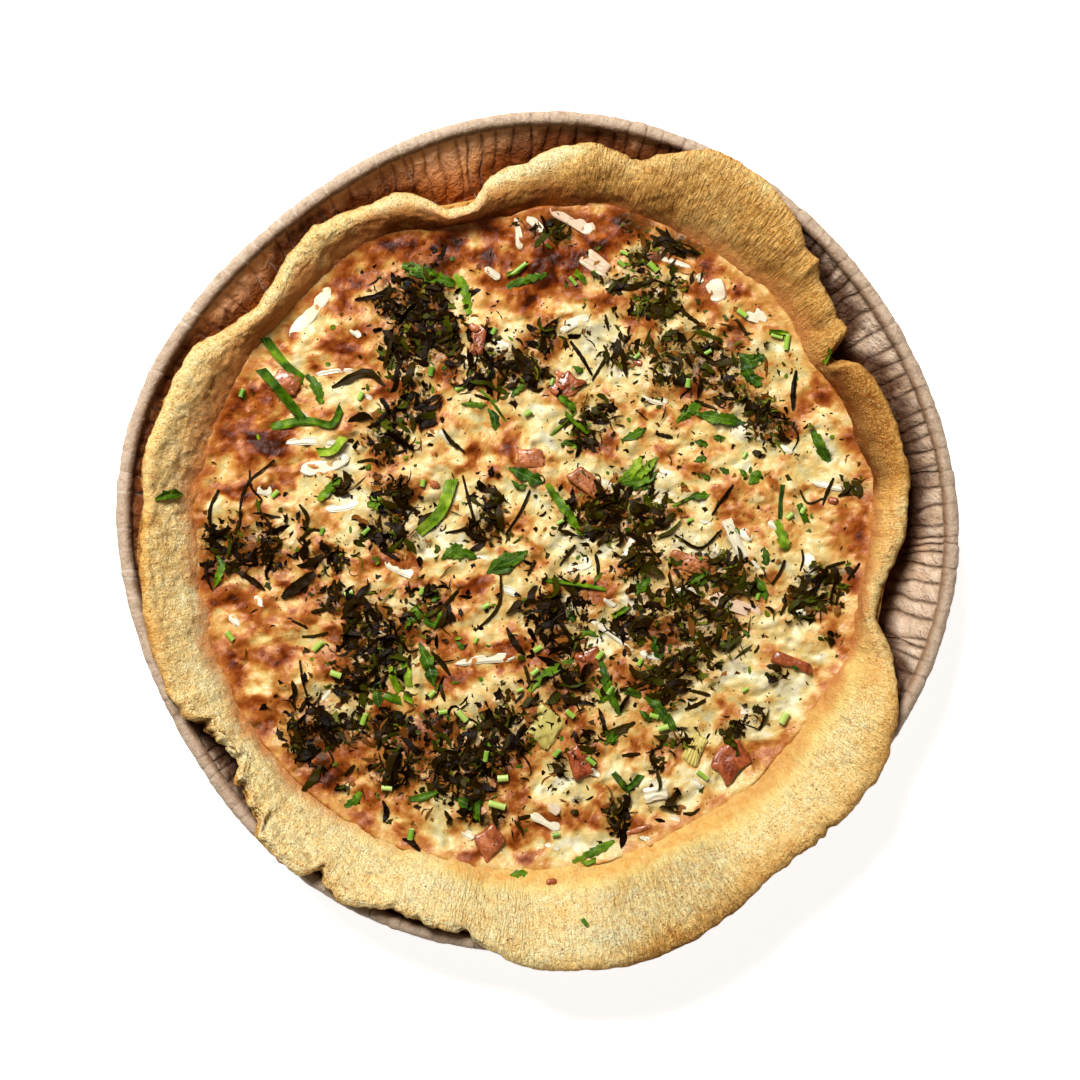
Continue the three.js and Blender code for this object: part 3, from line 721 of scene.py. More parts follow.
def build_pastry(n=1104):
    th = np.arange(n) / n * 360
    foot, edge, rim = foot_r(th), edge_r(th), rim_r(th)
    over = smooth(-7.5, -1.0, edge - (rim - BEAD_D))
    t = mix(7.0, 6.4, over) * mix(0.85, 1.0, smooth(5, 11, edge - foot))
    zl = mix(30.3, 37.8, over) - 0.9 * smooth(0, 5, edge - rim)
    # lip noise, and the folds' tops
    cx, cy = np.cos(np.radians(th)), np.sin(np.radians(th))
    zl = zl + 0.55 * fbm2(cx * 9, cy * 9, 3, 31) * (1 - 0.5 * over)
    zl = zl - 3.6 * bell(th, 31.4, 0.9) - 1.5 * bell(th, 36.3, 0.9) + 0.9 * bell(th, 33.9, 1.2)
    for at, width, reach in CHIPS:
        if at > 100:
            zl = zl + 0.35 * reach * bell(th, at, width * 1.3)
    rc, top = edge - t / 2, zl + t / 2
    s = foot - 105

    steep = 1.8 - 0.68 * zone(th, 158, 262, 16)  # the case opens out more gently on the left

    def inner(u):
        return np.stack([mix(foot, rc, u), mix(24.0, top, 1 - (1 - u) ** steep)], -1)

    slope = np.arctan2((top - 24) * steep * 0.5 ** (steep - 1), np.maximum(rc - foot, 1))
    half = inner(0.5)
    under = np.stack([half[:, 0] + 5.4 * np.sin(slope), half[:, 1] - 5.4 * np.cos(slope)], -1)
    lip_under = np.stack([rc, zl - t / 2], -1)
    corner = np.stack([rim - BEAD_D - 0.9, np.full(n, 34.6)], -1)
    knee = mix((under + lip_under) / 2, corner, over[:, None])
    k = lambda r, z: np.stack([np.broadcast_to(r, (n,)), np.broadcast_to(z, (n,))], -1)  # noqa: E731
    ctrl = [
        k(60, 1.1), k(93, 1.1), k(99 + 0.2 * s, 4.4), k(104.2 + 0.45 * s, 12), k(110.2 + 0.95 * s, 21), under, knee,
        lip_under, k(rc + 0.38 * t, zl - 0.34 * t), k(edge, zl), k(rc + 0.36 * t, zl + 0.36 * t), k(rc, top),
        inner(0.8), inner(0.6), inner(0.4), inner(0.2), k(foot, 24.0), k(foot - 3, 15), k(97.4 + 0.3 * s, 7.6), k(94, 5.0),
    ]
    per = [1, 2, 3, 3, 3, 3, 5, 4, 5, 6, 6, 7, 7, 7, 6, 6, 3, 1, 1]
    prof, span = catmull(np.array(ctrl), per)
    rows = len(prof)
    TH = np.radians(np.broadcast_to(th, (rows, n)))
    V = np.stack([prof[..., 0] * np.cos(TH), prof[..., 0] * np.sin(TH), prof[..., 1]], -1)
    nor = grid_normals(V)
    if nor[int(np.argmin(np.abs(span - 11)))][:, 2].mean() < 0:
        nor = -nor
    x, y, z = V[..., 0], V[..., 1], V[..., 2]
    shown = np.clip(smooth(5.5, 7, span), 0, 1)[:, None] * (1 - smooth(16.0, 17.0, span))[:, None]
    d = 0.75 * fbm3(x / 15, y / 15, z / 15, 2, 101) + 0.26 * fbm3(x / 6, y / 6, z / 6, 2, 102)
    d = d + 0.17 * fbm3(x / 2.9, y / 2.9, z / 2.9, 2, 103) + 0.09 * fbm3(x / 1.5, y / 1.5, z / 1.5, 1, 104)
    rough_w = zone(th, 150, 262, 14)[None, :]
    d = d + rough_w * (0.22 * fbm3(x / 2.2, y / 2.2, z / 2.2, 2, 106) + 0.14 * fbm3(x / 4.6, y / 4.6, z / 4.6, 1, 107))
    small = fbm3(x / 3.6 + 11, y / 3.6, z / 3.6, 2, 105)
    d = d - 0.30 * smooth(0.35, 0.75, small)  # shallow dimples in the rolled dough
    # flaking, in layers along the lip
    br = broken(th)[None, :]
    lip = (smooth(7.0, 8.5, span) * (1 - smooth(11.6, 13.5, span)))[:, None]
    arc = np.radians(th)[None, :] * 122.0
    prof_len = np.concatenate([[0], np.cumsum(np.linalg.norm(np.diff(prof.mean(1), axis=0), axis=-1))])[:, None]
    seam = np.abs(fbm2(arc / 7.5 + 0 * prof_len, prof_len / 2.1 + 0.25 * fbm2(arc / 5, prof_len / 5, 2, 9), 3, 131))
    cr = np.clip(1 - seam / 0.13, 0, 1) * br * lip
    pits = np.clip(1 - cell2(arc / 3.4, prof_len / 2.6, 17)[0] / 0.36, 0, 1) * br * lip * smooth(0.0, 0.4, fbm2(arc / 8, prof_len / 8, 2, 18))
    d = d - 1.25 * cr - 0.8 * pits + br * lip * 0.45 * fbm2(arc / 4.2, prof_len / 2.8, 3, 133)
    # fine cracks elsewhere
    fine = np.abs(fbm2(arc / 9 + 40, prof_len / 6, 3, 171))
    few = np.clip(fbm2(arc / 26, prof_len / 26, 2, 172) * 2 - 0.35, 0, 1)
    cr2 = np.clip(1 - fine / 0.035, 0, 1) * few * (smooth(7.5, 9, span) * (1 - smooth(14.5, 16, span)))[:, None]
    d = d - 0.45 * cr2
    # folds of the torn place
    thg = np.broadcast_to(th, (rows, n))
    out = (smooth(16.0, 12.0, span))[:, None]
    d = d - 1.6 * bell(thg, 31.2, 0.8) * out * (1 - smooth(10, 8.6, span))[:, None]
    fold = bell(thg, 36.4 + 0.25 * (span[:, None] - 12), 0.7) * (smooth(15.5, 12.5, span) * smooth(9.0, 10.5, span))[:, None]
    d = d - 1.5 * fold
    V = V + nor * (d * shown)[..., None]
    V[..., 2] = np.maximum(V[..., 2], 1.0)
    # what the surface looks like
    u_in = (smooth(11.0, 16.0, span))[:, None] * 1.0  # 0 at the top of the lip, 1 at the filling
    dist = np.maximum(prof[..., 0] - foot[None, :], 0)  # mm outside the filling's edge
    flap = zone(thg, 256, 338, 14)
    film_w = 4.0 + 5.5 * flap + 1.5 * fbm2(arc / 16, 0 * arc, 2, 88)
    face = (smooth(10.2, 11.2, span))[:, None]
    film = smooth(1.15, 0.35, dist / np.maximum(film_w, 1)) * face * np.clip(
        flap + 0.5 * zone(thg, 225, 262, 14) + 0.25 * zone(thg, 338, 392, 16), 0, 1)
    # the reddish-brown band; wider at 84-122 degrees, where it also paints the inner slope's shade
    red = smooth(1.5, 0.15, dist / (4.6 + 4.0 * zone(thg, 84, 122, 12) + 1.2 * zone(thg, 122, 170, 16) - 0.9 * zone(thg, 182, 236, 14)
                                    - 2.0 * zone(thg, 236, 262, 10)
                                    - 2.2 * zone(thg, 330, 366, 10) + 1.5 * fbm2(arc / 9, 0 * arc, 3, 89))) * face * np.clip(
        0.95 * zone(thg, 332, 391, 10) + 0.9 * zone(thg, 31, 84, 12) + 1.15 * zone(thg, 84, 122, 10) + 1.0 * zone(thg, 122, 180, 14) + 1.0 * zone(thg, 178, 236, 14)
        + 0.45 * zone(thg, 236, 262, 10) + 0.40 * zone(thg, 304, 340, 12), 0, 1)
    # orange: on the shaded inner slope at 104-172 degrees a painted glow of bounced light; at 338-370 and 32-84 the
    # pastry's own orange
    amber_and_painted_glow = 0.80 * zone(thg, 104, 172, 14) * smooth(11.4, 13.6, span)[:, None] + 0.60 * zone(thg, 338, 370, 8) * face + 0.05 * zone(thg, 32, 84, 10)
    back = np.maximum(edge[None, :] - prof[..., 0], 0)  # mm inside the lip's outer edge
    # browning, with painted light mixed in: down the inner slope at the back (66-158 degrees) the darkening is painted
    # shade as well as browning; the left inner slope (158-246) and the top at 98-108 are made paler as painted light;
    # the outer edge at 8-60 is made paler as a painted highlight; the broken outer edge at 176-258 is browned and also
    # darkened as painted shade
    bake_and_painted_light = (0.45 * zone(thg, 31, 66, 7) + 0.80 * zone(thg, 66, 84, 7) * (0.45 + 0.55 * u_in) + 0.95 * zone(thg, 84, 118, 7) * (0.04 + 0.96 * u_in**0.6)
             + 0.50 * zone(thg, 118, 158, 12) * (0.20 + 0.58 * u_in**1.2) + 0.20 * zone(thg, 160, 210, 12) + 0.05 * zone(thg, 210, 262, 12)
             - 0.24 * zone(thg, 158, 246, 12) * u_in + 0.10 * zone(thg, 8, 56, 8)
             + 0.50 * zone(thg, 333, 368, 8) * (0.38 + 0.62 * u_in) + 1.05 * zone(thg, 368, 391, 8) * (0.75 + 0.25 * u_in)
             + 0.06 * zone(thg, 284, 333, 12) - 0.25 * zone(thg, 204, 284, 14) - 0.12 * zone(thg, 98, 108, 5) * (1 - u_in)
             + 0.34 * zone(thg, 176, 258, 6) * smooth(5.5, 0.3, back + 2.2 * fbm2(arc / 6, 0 * arc + 3, 2, 91))
             - 0.30 * zone(thg, 8, 31, 4) * smooth(4.5, 0.5, back) - 0.16 * zone(thg, 36, 60, 6) * smooth(7.0, 1.0, back)
             + (0.36 * zone(thg, 266, 336, 12) + 0.20 * zone(thg, 272, 296, 10)) * smooth(13.0, 0.5, back + 2.0 * fbm2(arc / 12, 0 * arc + 7, 2, 90)))
    # painted shade under the lip and along its rounded outer edge
    under_lip_shade = (1 - smooth(8.0, 10.0, span))[:, None]
    bake_and_painted_light = np.clip(bake_and_painted_light + 0.45 * under_lip_shade + 0.16 * (1 - smooth(9.2, 10.6, span))[:, None], 0, 1)
    # painted highlight along the crest of the lip at the back, 54-156 degrees
    bake_and_painted_light = bake_and_painted_light - (0.13 * zone(thg, 54, 98, 8) + 0.03 * zone(thg, 98, 156, 8)) * (smooth(8.3, 9.3, span) * (1 - smooth(10.4, 11.8, span)))[:, None]
    wr = (zone(thg, 50, 84, 10) + 0.75 * zone(thg, 279, 300, 8) + 0.45 * zone(thg, 254, 268, 8) + 0.3 * zone(thg, 33, 50, 6)
          + 0.22 + 0.12 * zone(thg, 262, 335, 12)) * (smooth(7.5, 9.5, span) * (1 - smooth(14.2, 15.6, span)))[:, None]
    # where the painted crack shade goes
    crack_shade = np.clip(cr**2 * 0.9 + pits**2 * 0.15 + cr2 * 0.8 + fold * 0.35, 0, 1) * shown
    ext = lambda a: np.concatenate([np.broadcast_to(a, (rows, n)).ravel(), [0, 0]])  # noqa: E731
    verts = np.concatenate([V.reshape(-1, 3), [[0, 0, 1.1], [0, 0, 5.0]]])
    faces = ring_faces(rows, n)
    caps = np.concatenate([cap_faces(0, n, rows * n, True), cap_faces((rows - 1) * n, n, rows * n + 1)])
    attrs = {"bake_and_painted_light": ext(bake_and_painted_light), "film": ext(film), "crack_shade": ext(crack_shade), "red": ext(red), "amber_and_painted_glow": ext(np.clip(amber_and_painted_glow, 0, 1)), "wrinkle": ext(np.clip(wr, 0, 1))}
    ob = make_mesh("pastry", verts, [faces, caps], True, attrs, pastry_material())
    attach(ob, "root")
    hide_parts("pastry_crust")
    return ob


PASTRY = build_pastry()


# ------------------------------------------------------------------ egg filling
# browned places: centre, half sizes in 1080-frame pixels, strength
BROWN = [
    (350, 285, 30, 30, .85), (350, 345, 25, 22, .9), (330, 350, 20, 20, .9), (250, 400, 22, 22, .85), (235, 400, 18, 18, .8),
    (240, 425, 22, 22, .9), (385, 330, 12, 12, .7), (395, 400, 15, 15, .6), (380, 240, 40, 12, .9), (350, 265, 25, 18, .8),
    (430, 245, 40, 15, .95), (480, 255, 25, 22, .8), (440, 268, 25, 18, .85), (540, 245, 40, 30, .85), (560, 265, 30, 24, .85),
    (590, 240, 30, 26, .85), (610, 215, 25, 16, .9), (600, 300, 14, 14, .75), (515, 300, 20, 18, .7), (545, 350, 18, 16, .8),
    (560, 285, 30, 22, .75), (500, 275, 15, 15, .7), (580, 390, 16, 14, .55), (450, 400, 15, 13, .45), (480, 310, 15, 12, .5),
    (655, 260, 14, 14, .5), (720, 275, 24, 14, .45), (740, 290, 30, 16, .45), (700, 300, 20, 14, .35), (730, 330, 25, 18, .55),
    (755, 400, 12, 12, .6), (822, 385, 14, 16, .6), (842, 400, 16, 26, .55), (700, 385, 8, 8, .6), (260, 440, 30, 22, .85),
    (240, 445, 25, 20, .75), (250, 505, 18, 16, .8), (285, 455, 15, 10, .6), (275, 550, 20, 14, .7), (315, 550, 10, 10, .6),
    (360, 560, 15, 13, .6), (380, 570, 20, 15, .6), (240, 600, 20, 17, .75), (255, 625, 25, 20, .6), (255, 640, 18, 16, .7),
    (270, 665, 20, 17, .85), (325, 515, 10, 10, .5), (525, 530, 20, 16, .8), (495, 470, 40, 14, .7), (450, 465, 15, 12, .6),
    (470, 600, 25, 18, .45), (470, 640, 22, 18, .4), (450, 650, 20, 15, .6), (430, 590, 10, 10, .5), (605, 600, 14, 12, .5),
    (665, 450, 16, 13, .75), (730, 455, 10, 10, .6), (725, 498, 8, 10, .5), (735, 520, 6, 9, .5), (815, 500, 14, 10, .6),
    (845, 530, 20, 18, .55), (775, 580, 10, 9, .6), (760, 610, 6, 6, .6), (862, 450, 10, 40, .8), (280, 680, 18, 18, .95),
    (250, 690, 30, 24, .75), (330, 665, 20, 16, .6), (270, 740, 25, 22, .6), (350, 755, 28, 22, .85), (330, 770, 20, 18, .8),
    (375, 790, 35, 24, .85), (420, 730, 20, 18, .85), (390, 740, 15, 13, .8), (350, 810, 30, 16, .7), (300, 780, 25, 8, .6),
    (440, 730, 25, 18, .8), (450, 680, 25, 16, .7), (485, 690, 12, 10, .6), (525, 715, 14, 12, .7), (520, 755, 20, 14, .7),
    (480, 775, 12, 10, .8), (500, 760, 15, 12, .6), (540, 800, 10, 9, .6), (430, 825, 25, 12, .6), (580, 820, 20, 13, .4),
    (640, 730, 14, 10, .5), (605, 785, 14, 10, .6), (700, 725, 12, 10, .6), (710, 750, 10, 8, .5), (770, 720, 14, 10, .15),
    (745, 752, 12, 9, .10), (300, 620, 22, 18, .3), (310, 590, 18, 12, .35), (690, 470, 14, 10, .4), (610, 450, 12, 9, .3),
    (560, 500, 14, 12, .35), (640, 640, 16, 10, .35), (545, 640, 12, 10, .4), (705, 330, 14, 10, .45), (790, 440, 16, 14, .35),
    (480, 350, 14, 9, .5), (430, 380, 12, 9, .5), (330, 415, 12, 9, .4), (280, 400, 14, 14, .45), (350, 640, 16, 12, .45),
]
CREAM = [
    (330, 463, 35, 12, .9), (345, 450, 12, 10, .8), (425, 565, 15, 13, .8), (580, 325, 20, 15, .9), (590, 335, 18, 13, .9),
    (505, 345, 18, 13, .7), (545, 320, 14, 11, .7), (570, 560, 30, 12, .9), (685, 590, 16, 8, .9), (625, 600, 18, 14, .8),
    (765, 680, 40, 25, .9), (700, 690, 18, 15, .8), (680, 500, 20, 8, .9), (590, 850, 30, 12, .85), (540, 850, 20, 12, .8),
    (385, 823, 8, 7, .8), (415, 410, 9, 9, .6), (330, 400, 15, 8, .8), (355, 380, 15, 7, .8), (640, 300, 10, 8, .7),
    (745, 430, 8, 8, .8), (310, 560, 26, 22, .45), (270, 590, 26, 14, .5), (690, 540, 26, 16, .6), (790, 640, 28, 18, .55),
    (600, 640, 16, 14, .5), (660, 780, 26, 20, .7), (560, 840, 30, 16, .5), (520, 560, 16, 12, .4), (770, 500, 20, 22, .5),
    (720, 545, 20, 14, .6), (640, 420, 22, 14, .45), (540, 440, 22, 12, .4), (350, 505, 20, 10, .5), (305, 435, 22, 8, .6),
    (690, 430, 20, 10, .5), (740, 470, 20, 12, .5), (610, 520, 14, 12, .5), (455, 550, 16, 12, .5), (480, 665, 26, 8, .5),
    (560, 610, 14, 10, .5), (300, 330, 16, 26, .5), (800, 560, 14, 18, .4), (700, 640, 12, 10, .4), (560, 780, 14, 12, .4),
    (768, 748, 26, 13, .45),
]


def spots(x, y, rows, z=24.0, edge=0.55, seed=0):
    """Soft uneven patches laid over each other, 0-1."""
    wx = x + 1.7 * fbm2(x / 5.5, y / 5.5, 3, 301 + seed)
    wy = y + 1.7 * fbm2(x / 5.5 + 50, y / 5.5, 3, 302 + seed)
    out = np.zeros_like(x)
    for cx, cy, rx, ry, s in rows:
        c = P(cx, cy, z)
        q = np.hypot((wx - c[0]) / (rx * 0.3148), (wy - c[1]) / (ry * 0.3148))
        near = q < 2.4
        v = s * np.exp(-0.5 * (q[near] / 0.78) ** 2)
        out[near] = 1 - (1 - out[near]) * (1 - v)
    return out


def fill_fields(x, y):
    """Height (mm above the table) and looks of the filling at places x, y."""
    th = np.degrees(np.arctan2(y, x))
    r = np.hypot(x, y)
    to_edge = foot_r(th) - r
    z = np.full_like(x, FILL_Z)
    for sx, sy, spread, rise in SWELLS:
        z = z + rise * np.exp(-((x - sx) ** 2 + (y - sy) ** 2) / (2 * spread**2))
    brown, cream = spots(x, y, BROWN), spots(x, y, CREAM, seed=7)
    # the rim of the filling browns against the pastry on the left, top and right
    rim_left = (zone(th, 96, 247, 14) * 0.75 + 0.55 * zone(th, 55, 96, 14) + 0.7 * zone(th, 338, 392, 14))
    ring = np.exp(-((to_edge - 2.0) / 3.0) ** 2) * np.clip(rim_left, 0, 1) * (0.75 + 0.5 * fbm2(x / 7, y / 7, 3, 41))
    # broad warmth: left and lower left are more baked than the right
    warm = 0.15 * smooth(30, -75, x + 0.35 * y) + 0.14 * smooth(60, 92, y) * smooth(75, 30, x) + 0.03 * smooth(0, 70, x) * smooth(30, -70, y)
    lumps = fbm2(x / 8.5, y / 8.5, 3, 51)
    f1, f2, who = cell2(x / 7.4 + 0.55 * fbm2(x / 9, y / 9, 3, 5), y / 6.2 + 0.55 * fbm2(x / 9 + 20, y / 9, 3, 6), 52)
    curd = np.exp(-((f1 / 0.50) ** 2))
    g1, _, _ = cell2(x / 3.4 + 0.25 * fbm2(x / 4, y / 4, 2, 15), y / 3.4, 53)
    fine = np.exp(-((g1 / 0.48) ** 2))
    calm = 0.30 + 0.70 * smooth(0.5, 7.5, to_edge)
    z = z + calm * (1.10 * lumps + 0.95 * (curd - 0.45) + 0.32 * (fine - 0.45) + 0.55 * brown * (0.4 + 0.6 * curd))
    z = z + 0.05 * fbm2(x / 1.9, y / 1.9, 2, 54) - 0.5 * cream * (1 - curd)
    # shrinkage pits
    p1, _, pw = cell2(x / 9.0, y / 9.0, 55)
    pit = np.clip(1 - p1 / 0.16, 0, 1) * (pw > 0.55)
    z = z - 1.3 * pit
    # the filling climbs a little where it meets the pastry
    z = z + (1.05 + 0.35 * fbm2(x / 5.5, y / 5.5, 3, 93)) * np.exp(-np.maximum(to_edge, 0) / 2.2) - 0.35 * np.exp(-((to_edge - 5.5) / 2.2) ** 2)
    # the tops of the curds brown first, in blotches with quick edges
    blotch = fbm2(x / 5.2 + 3, y / 4.0, 4, 56, 0.6)
    brown = np.clip(brown * (0.80 + 0.45 * blotch), 0, 1)
    qx, qy = x + 2.2 * fbm2(x / 6, y / 6, 2, 71), y + 2.2 * fbm2(x / 6 + 30, y / 6, 2, 72)
    veil = fbm2(qx / 10, qy / 7.5, 5, 73, 0.62)
    heat = 0.325 + 0.080 * smooth(-30, 35, x) + warm + 0.42 * veil + 0.06 * lumps + 0.09 * (curd - 0.45) + (0.38 + 0.16 * smooth(25, 70, y) + 0.07 * smooth(10, 70, x)) * brown + 0.20 * ring - 0.30 * cream
    heat = heat + 0.15 * zone(th, 240, 340, 14) * np.exp(-((to_edge - 0.3) / 2.4) ** 2)
    heat = heat + 0.13 * blotch + 0.04 * (fine - 0.45) + 0.16 * smooth(0.15, 0.75, veil) * smooth(90, -30, x)
    brim = np.exp(-((np.maximum(to_edge, 0) / 1.9) ** 2))
    heat = mix(heat, 0.40 + 0.24 * zone(th, 150, 236, 16) + 0.34 * zone(th, 58, 122, 14) + 0.18 * zone(th, 336, 392, 14) + 0.12 * blotch, (0.55 + 0.15 * zone(th, 150, 236, 16)) * brim)
    # hollow by the leek, upper middle
    for hx, hy, hr, hd in ((430, 548, 3.4, 1.6), (548, 748, 2.6, 1.0), (700, 620, 3.0, 0.6), (395, 355, 3.0, 0.5)):
        c = P(hx, hy)
        g = np.exp(-((x - c[0]) ** 2 + (y - c[1]) ** 2) / (2 * (hr * 0.5) ** 2))
        z = z - hd * g
    heat = np.where(heat > 0.68, 0.68 + (heat - 0.68) * 0.62, heat)
    return z, np.clip(heat, 0, 1), np.clip(pit, 0, 1), to_edge, np.clip(0.62 * curd + 0.38 * fine + 0.22 * lumps, 0, 1)


def filling_material():
    m = Nodes("baked_egg_filling")
    heat, green, pit, tops = m.attr("baked"), m.attr("green"), m.attr("pit"), m.attr("tops")
    co = m.coord()
    n1 = m.noise(co, 5.0, 4, 0.62, 0.4)
    n2 = m.noise(co, 1.5, 4, 0.65, 0.5)
    n3 = m.noise(co, 0.6, 2, 0.6)
    t = m.math("ADD", heat, m.math("MULTIPLY", m.math("SUBTRACT", n1, 0.5), 0.50))
    t = m.math("ADD", t, m.math("MULTIPLY", m.math("SUBTRACT", n2, 0.5), 0.20))
    col = m.ramp(t, [
        (0.00, lin(242, 234, 200)), (0.10, lin(236, 221, 160)), (0.22, lin(232, 206, 130)), (0.35, lin(230, 192, 112)),
        (0.47, lin(220, 164, 84)), (0.59, lin(200, 130, 58)), (0.70, lin(174, 96, 36)), (0.82, lin(142, 66, 16)),
        (0.92, lin(110, 42, 4)), (1.00, lin(66, 22, 1)),
    ])
    # herb juice tints the custard a little
    # clear pools between the curds; a painted highlight on the curd tops
    cool = m.math("MULTIPLY", m.mapr(m.math("ADD", tops, m.math("MULTIPLY", m.math("SUBTRACT", n2, 0.5), 0.5)), 0.34, 0.10), m.mapr(t, 0.46, 0.26))
    col = m.mix(m.math("MULTIPLY", cool, 0.55), col, lin(196, 184, 128))
    lit = m.math("MULTIPLY", m.mapr(m.math("ADD", tops, m.math("MULTIPLY", m.math("SUBTRACT", n2, 0.5), 0.5)), 0.50, 0.85), m.mapr(t, 0.50, 0.30))
    col = m.mix(m.math("MULTIPLY", lit, 0.36), col, lin(255, 244, 206))
    wash = m.math("MULTIPLY", green, m.mapr(n1, 0.28, 0.60, 0.35, 0.95))
    col = m.mix(wash, col, m.mix(m.mapr(t, 0.3, 0.7), lin(156, 114, 54), lin(104, 58, 14)))
    # herbs baked into the top of the custard
    n4 = m.noise(co, 2.1, 2, 0.5, 1.6)
    sunk = m.math("MULTIPLY", m.mapr(m.math("ADD", n4, m.math("MULTIPLY", green, 0.14)), 0.60, 0.68), m.mapr(green, 0.05, 0.5, 0.0, 0.75))
    col = m.mix(sunk, col, m.mix(n1, lin(46, 30, 6), lin(92, 76, 26)))
    pale = m.math("MULTIPLY", m.mapr(n3, 0.58, 0.72, 0.0, 0.30), m.mapr(t, 0.42, 0.30))
    col = m.mix(pale, col, lin(255, 250, 232))
    col = m.mix(m.math("MULTIPLY", m.mapr(m.voronoi(co, 2.3, "F1", "Distance"), 0.10, 0.05), 0.55), col, lin(92, 58, 22))
    col = m.mix(m.math("MULTIPLY", pit, 0.5), col, lin(120, 74, 30))
    h = m.math("ADD", m.math("MULTIPLY", n2, 1.0), m.math("MULTIPLY", n3, 0.15))
    nrm = m.bump(h, 0.62, 0.60)
    rough = m.mapr(n1, 0.3, 0.7, 0.20, 0.40)
    m.put(m.bsdf.inputs["Specular IOR Level"], m.mapr(t, 0.50, 0.80, 0.32, 0.12))
    return m.done(col, rough, nrm, spec=0.20, sss=(0.05, (1.0, 0.6, 0.3), 1.5), keep=0.665)


# places where baked herbs lie thick: centre and half sizes in 1080-frame pixels
MATS = [
    (410, 300, 25, 22), (418, 345, 16, 18), (402, 355, 12, 25), (405, 400, 8, 10), (425, 405, 8, 15), (390, 420, 18, 10),
    (430, 300, 15, 25), (430, 325, 20, 10), (445, 345, 14, 10), (500, 368, 35, 18), (548, 228, 14, 10), (560, 225, 10, 12),
    (632, 222, 10, 6), (645, 225, 8, 5), (638, 260, 8, 10), (632, 283, 28, 6), (655, 300, 12, 10), (547, 335, 14, 10),
    (620, 355, 14, 10), (520, 375, 20, 10), (600, 415, 16, 14), (680, 245, 28, 8), (668, 288, 18, 12), (655, 310, 20, 8),
    (695, 362, 38, 24), (725, 392, 12, 10), (760, 405, 12, 10), (770, 425, 15, 8), (240, 548, 38, 22), (330, 560, 14, 10),
    (340, 600, 15, 10), (395, 500, 18, 16), (395, 535, 22, 14), (385, 445, 20, 10), (345, 485, 12, 6), (375, 628, 25, 20),
    (380, 650, 25, 12), (485, 530, 14, 16), (490, 500, 8, 14), (593, 515, 24, 16), (605, 530, 14, 8), (585, 440, 14, 10),
    (630, 505, 24, 20), (640, 545, 10, 10), (640, 565, 16, 12), (563, 622, 24, 30), (525, 605, 8, 8), (630, 625, 12, 12),
    (650, 600, 8, 8), (430, 610, 14, 20), (770, 430, 18, 10), (650, 520, 20, 14), (735, 580, 20, 16), (720, 560, 8, 10),
    (690, 625, 40, 32), (800, 600, 14, 6), (815, 588, 20, 14), (835, 575, 10, 6), (855, 490, 10, 5), (830, 638, 6, 5),
    (806, 610, 10, 8), (310, 730, 22, 26), (365, 675, 18, 16), (390, 665, 12, 12), (345, 690, 10, 6), (350, 730, 14, 8),
    (375, 725, 20, 10), (400, 730, 16, 12), (390, 770, 14, 14), (335, 735, 14, 6), (400, 775, 10, 10), (255, 725, 5, 4),
    (340, 790, 5, 4), (435, 720, 8, 6), (505, 735, 20, 28), (458, 762, 34, 28), (470, 790, 16, 10), (578, 682, 30, 11),
    (560, 700, 10, 8), (585, 745, 8, 12), (560, 765, 6, 8), (573, 800, 5, 6), (618, 818, 9, 20), (490, 818, 16, 6),
    (670, 670, 20, 16), (665, 690, 12, 14), (735, 730, 10, 10), (675, 740, 12, 6), (655, 765, 6, 10), (675, 800, 5, 7),
    (760, 715, 9, 6), (780, 675, 6, 5),
]


def disc_grid(n):
    """Square grid carried to a disc: radius 0-1 and angle of (n+1)^2 points."""
    a = np.linspace(-1, 1, n + 1)
    X, Y = np.meshgrid(a, a, indexing="xy")
    big = np.abs(X) > np.abs(Y)
    with np.errstate(divide="ignore", invalid="ignore"):
        r = np.where(big, X, Y)
        phi = np.where(big, np.pi / 4 * (Y / np.where(X == 0, 1, X)), np.pi / 2 - np.pi / 4 * (X / np.where(Y == 0, 1, Y)))
    r = np.where((X == 0) & (Y == 0), 0, r)
    return r * np.cos(phi), r * np.sin(phi)


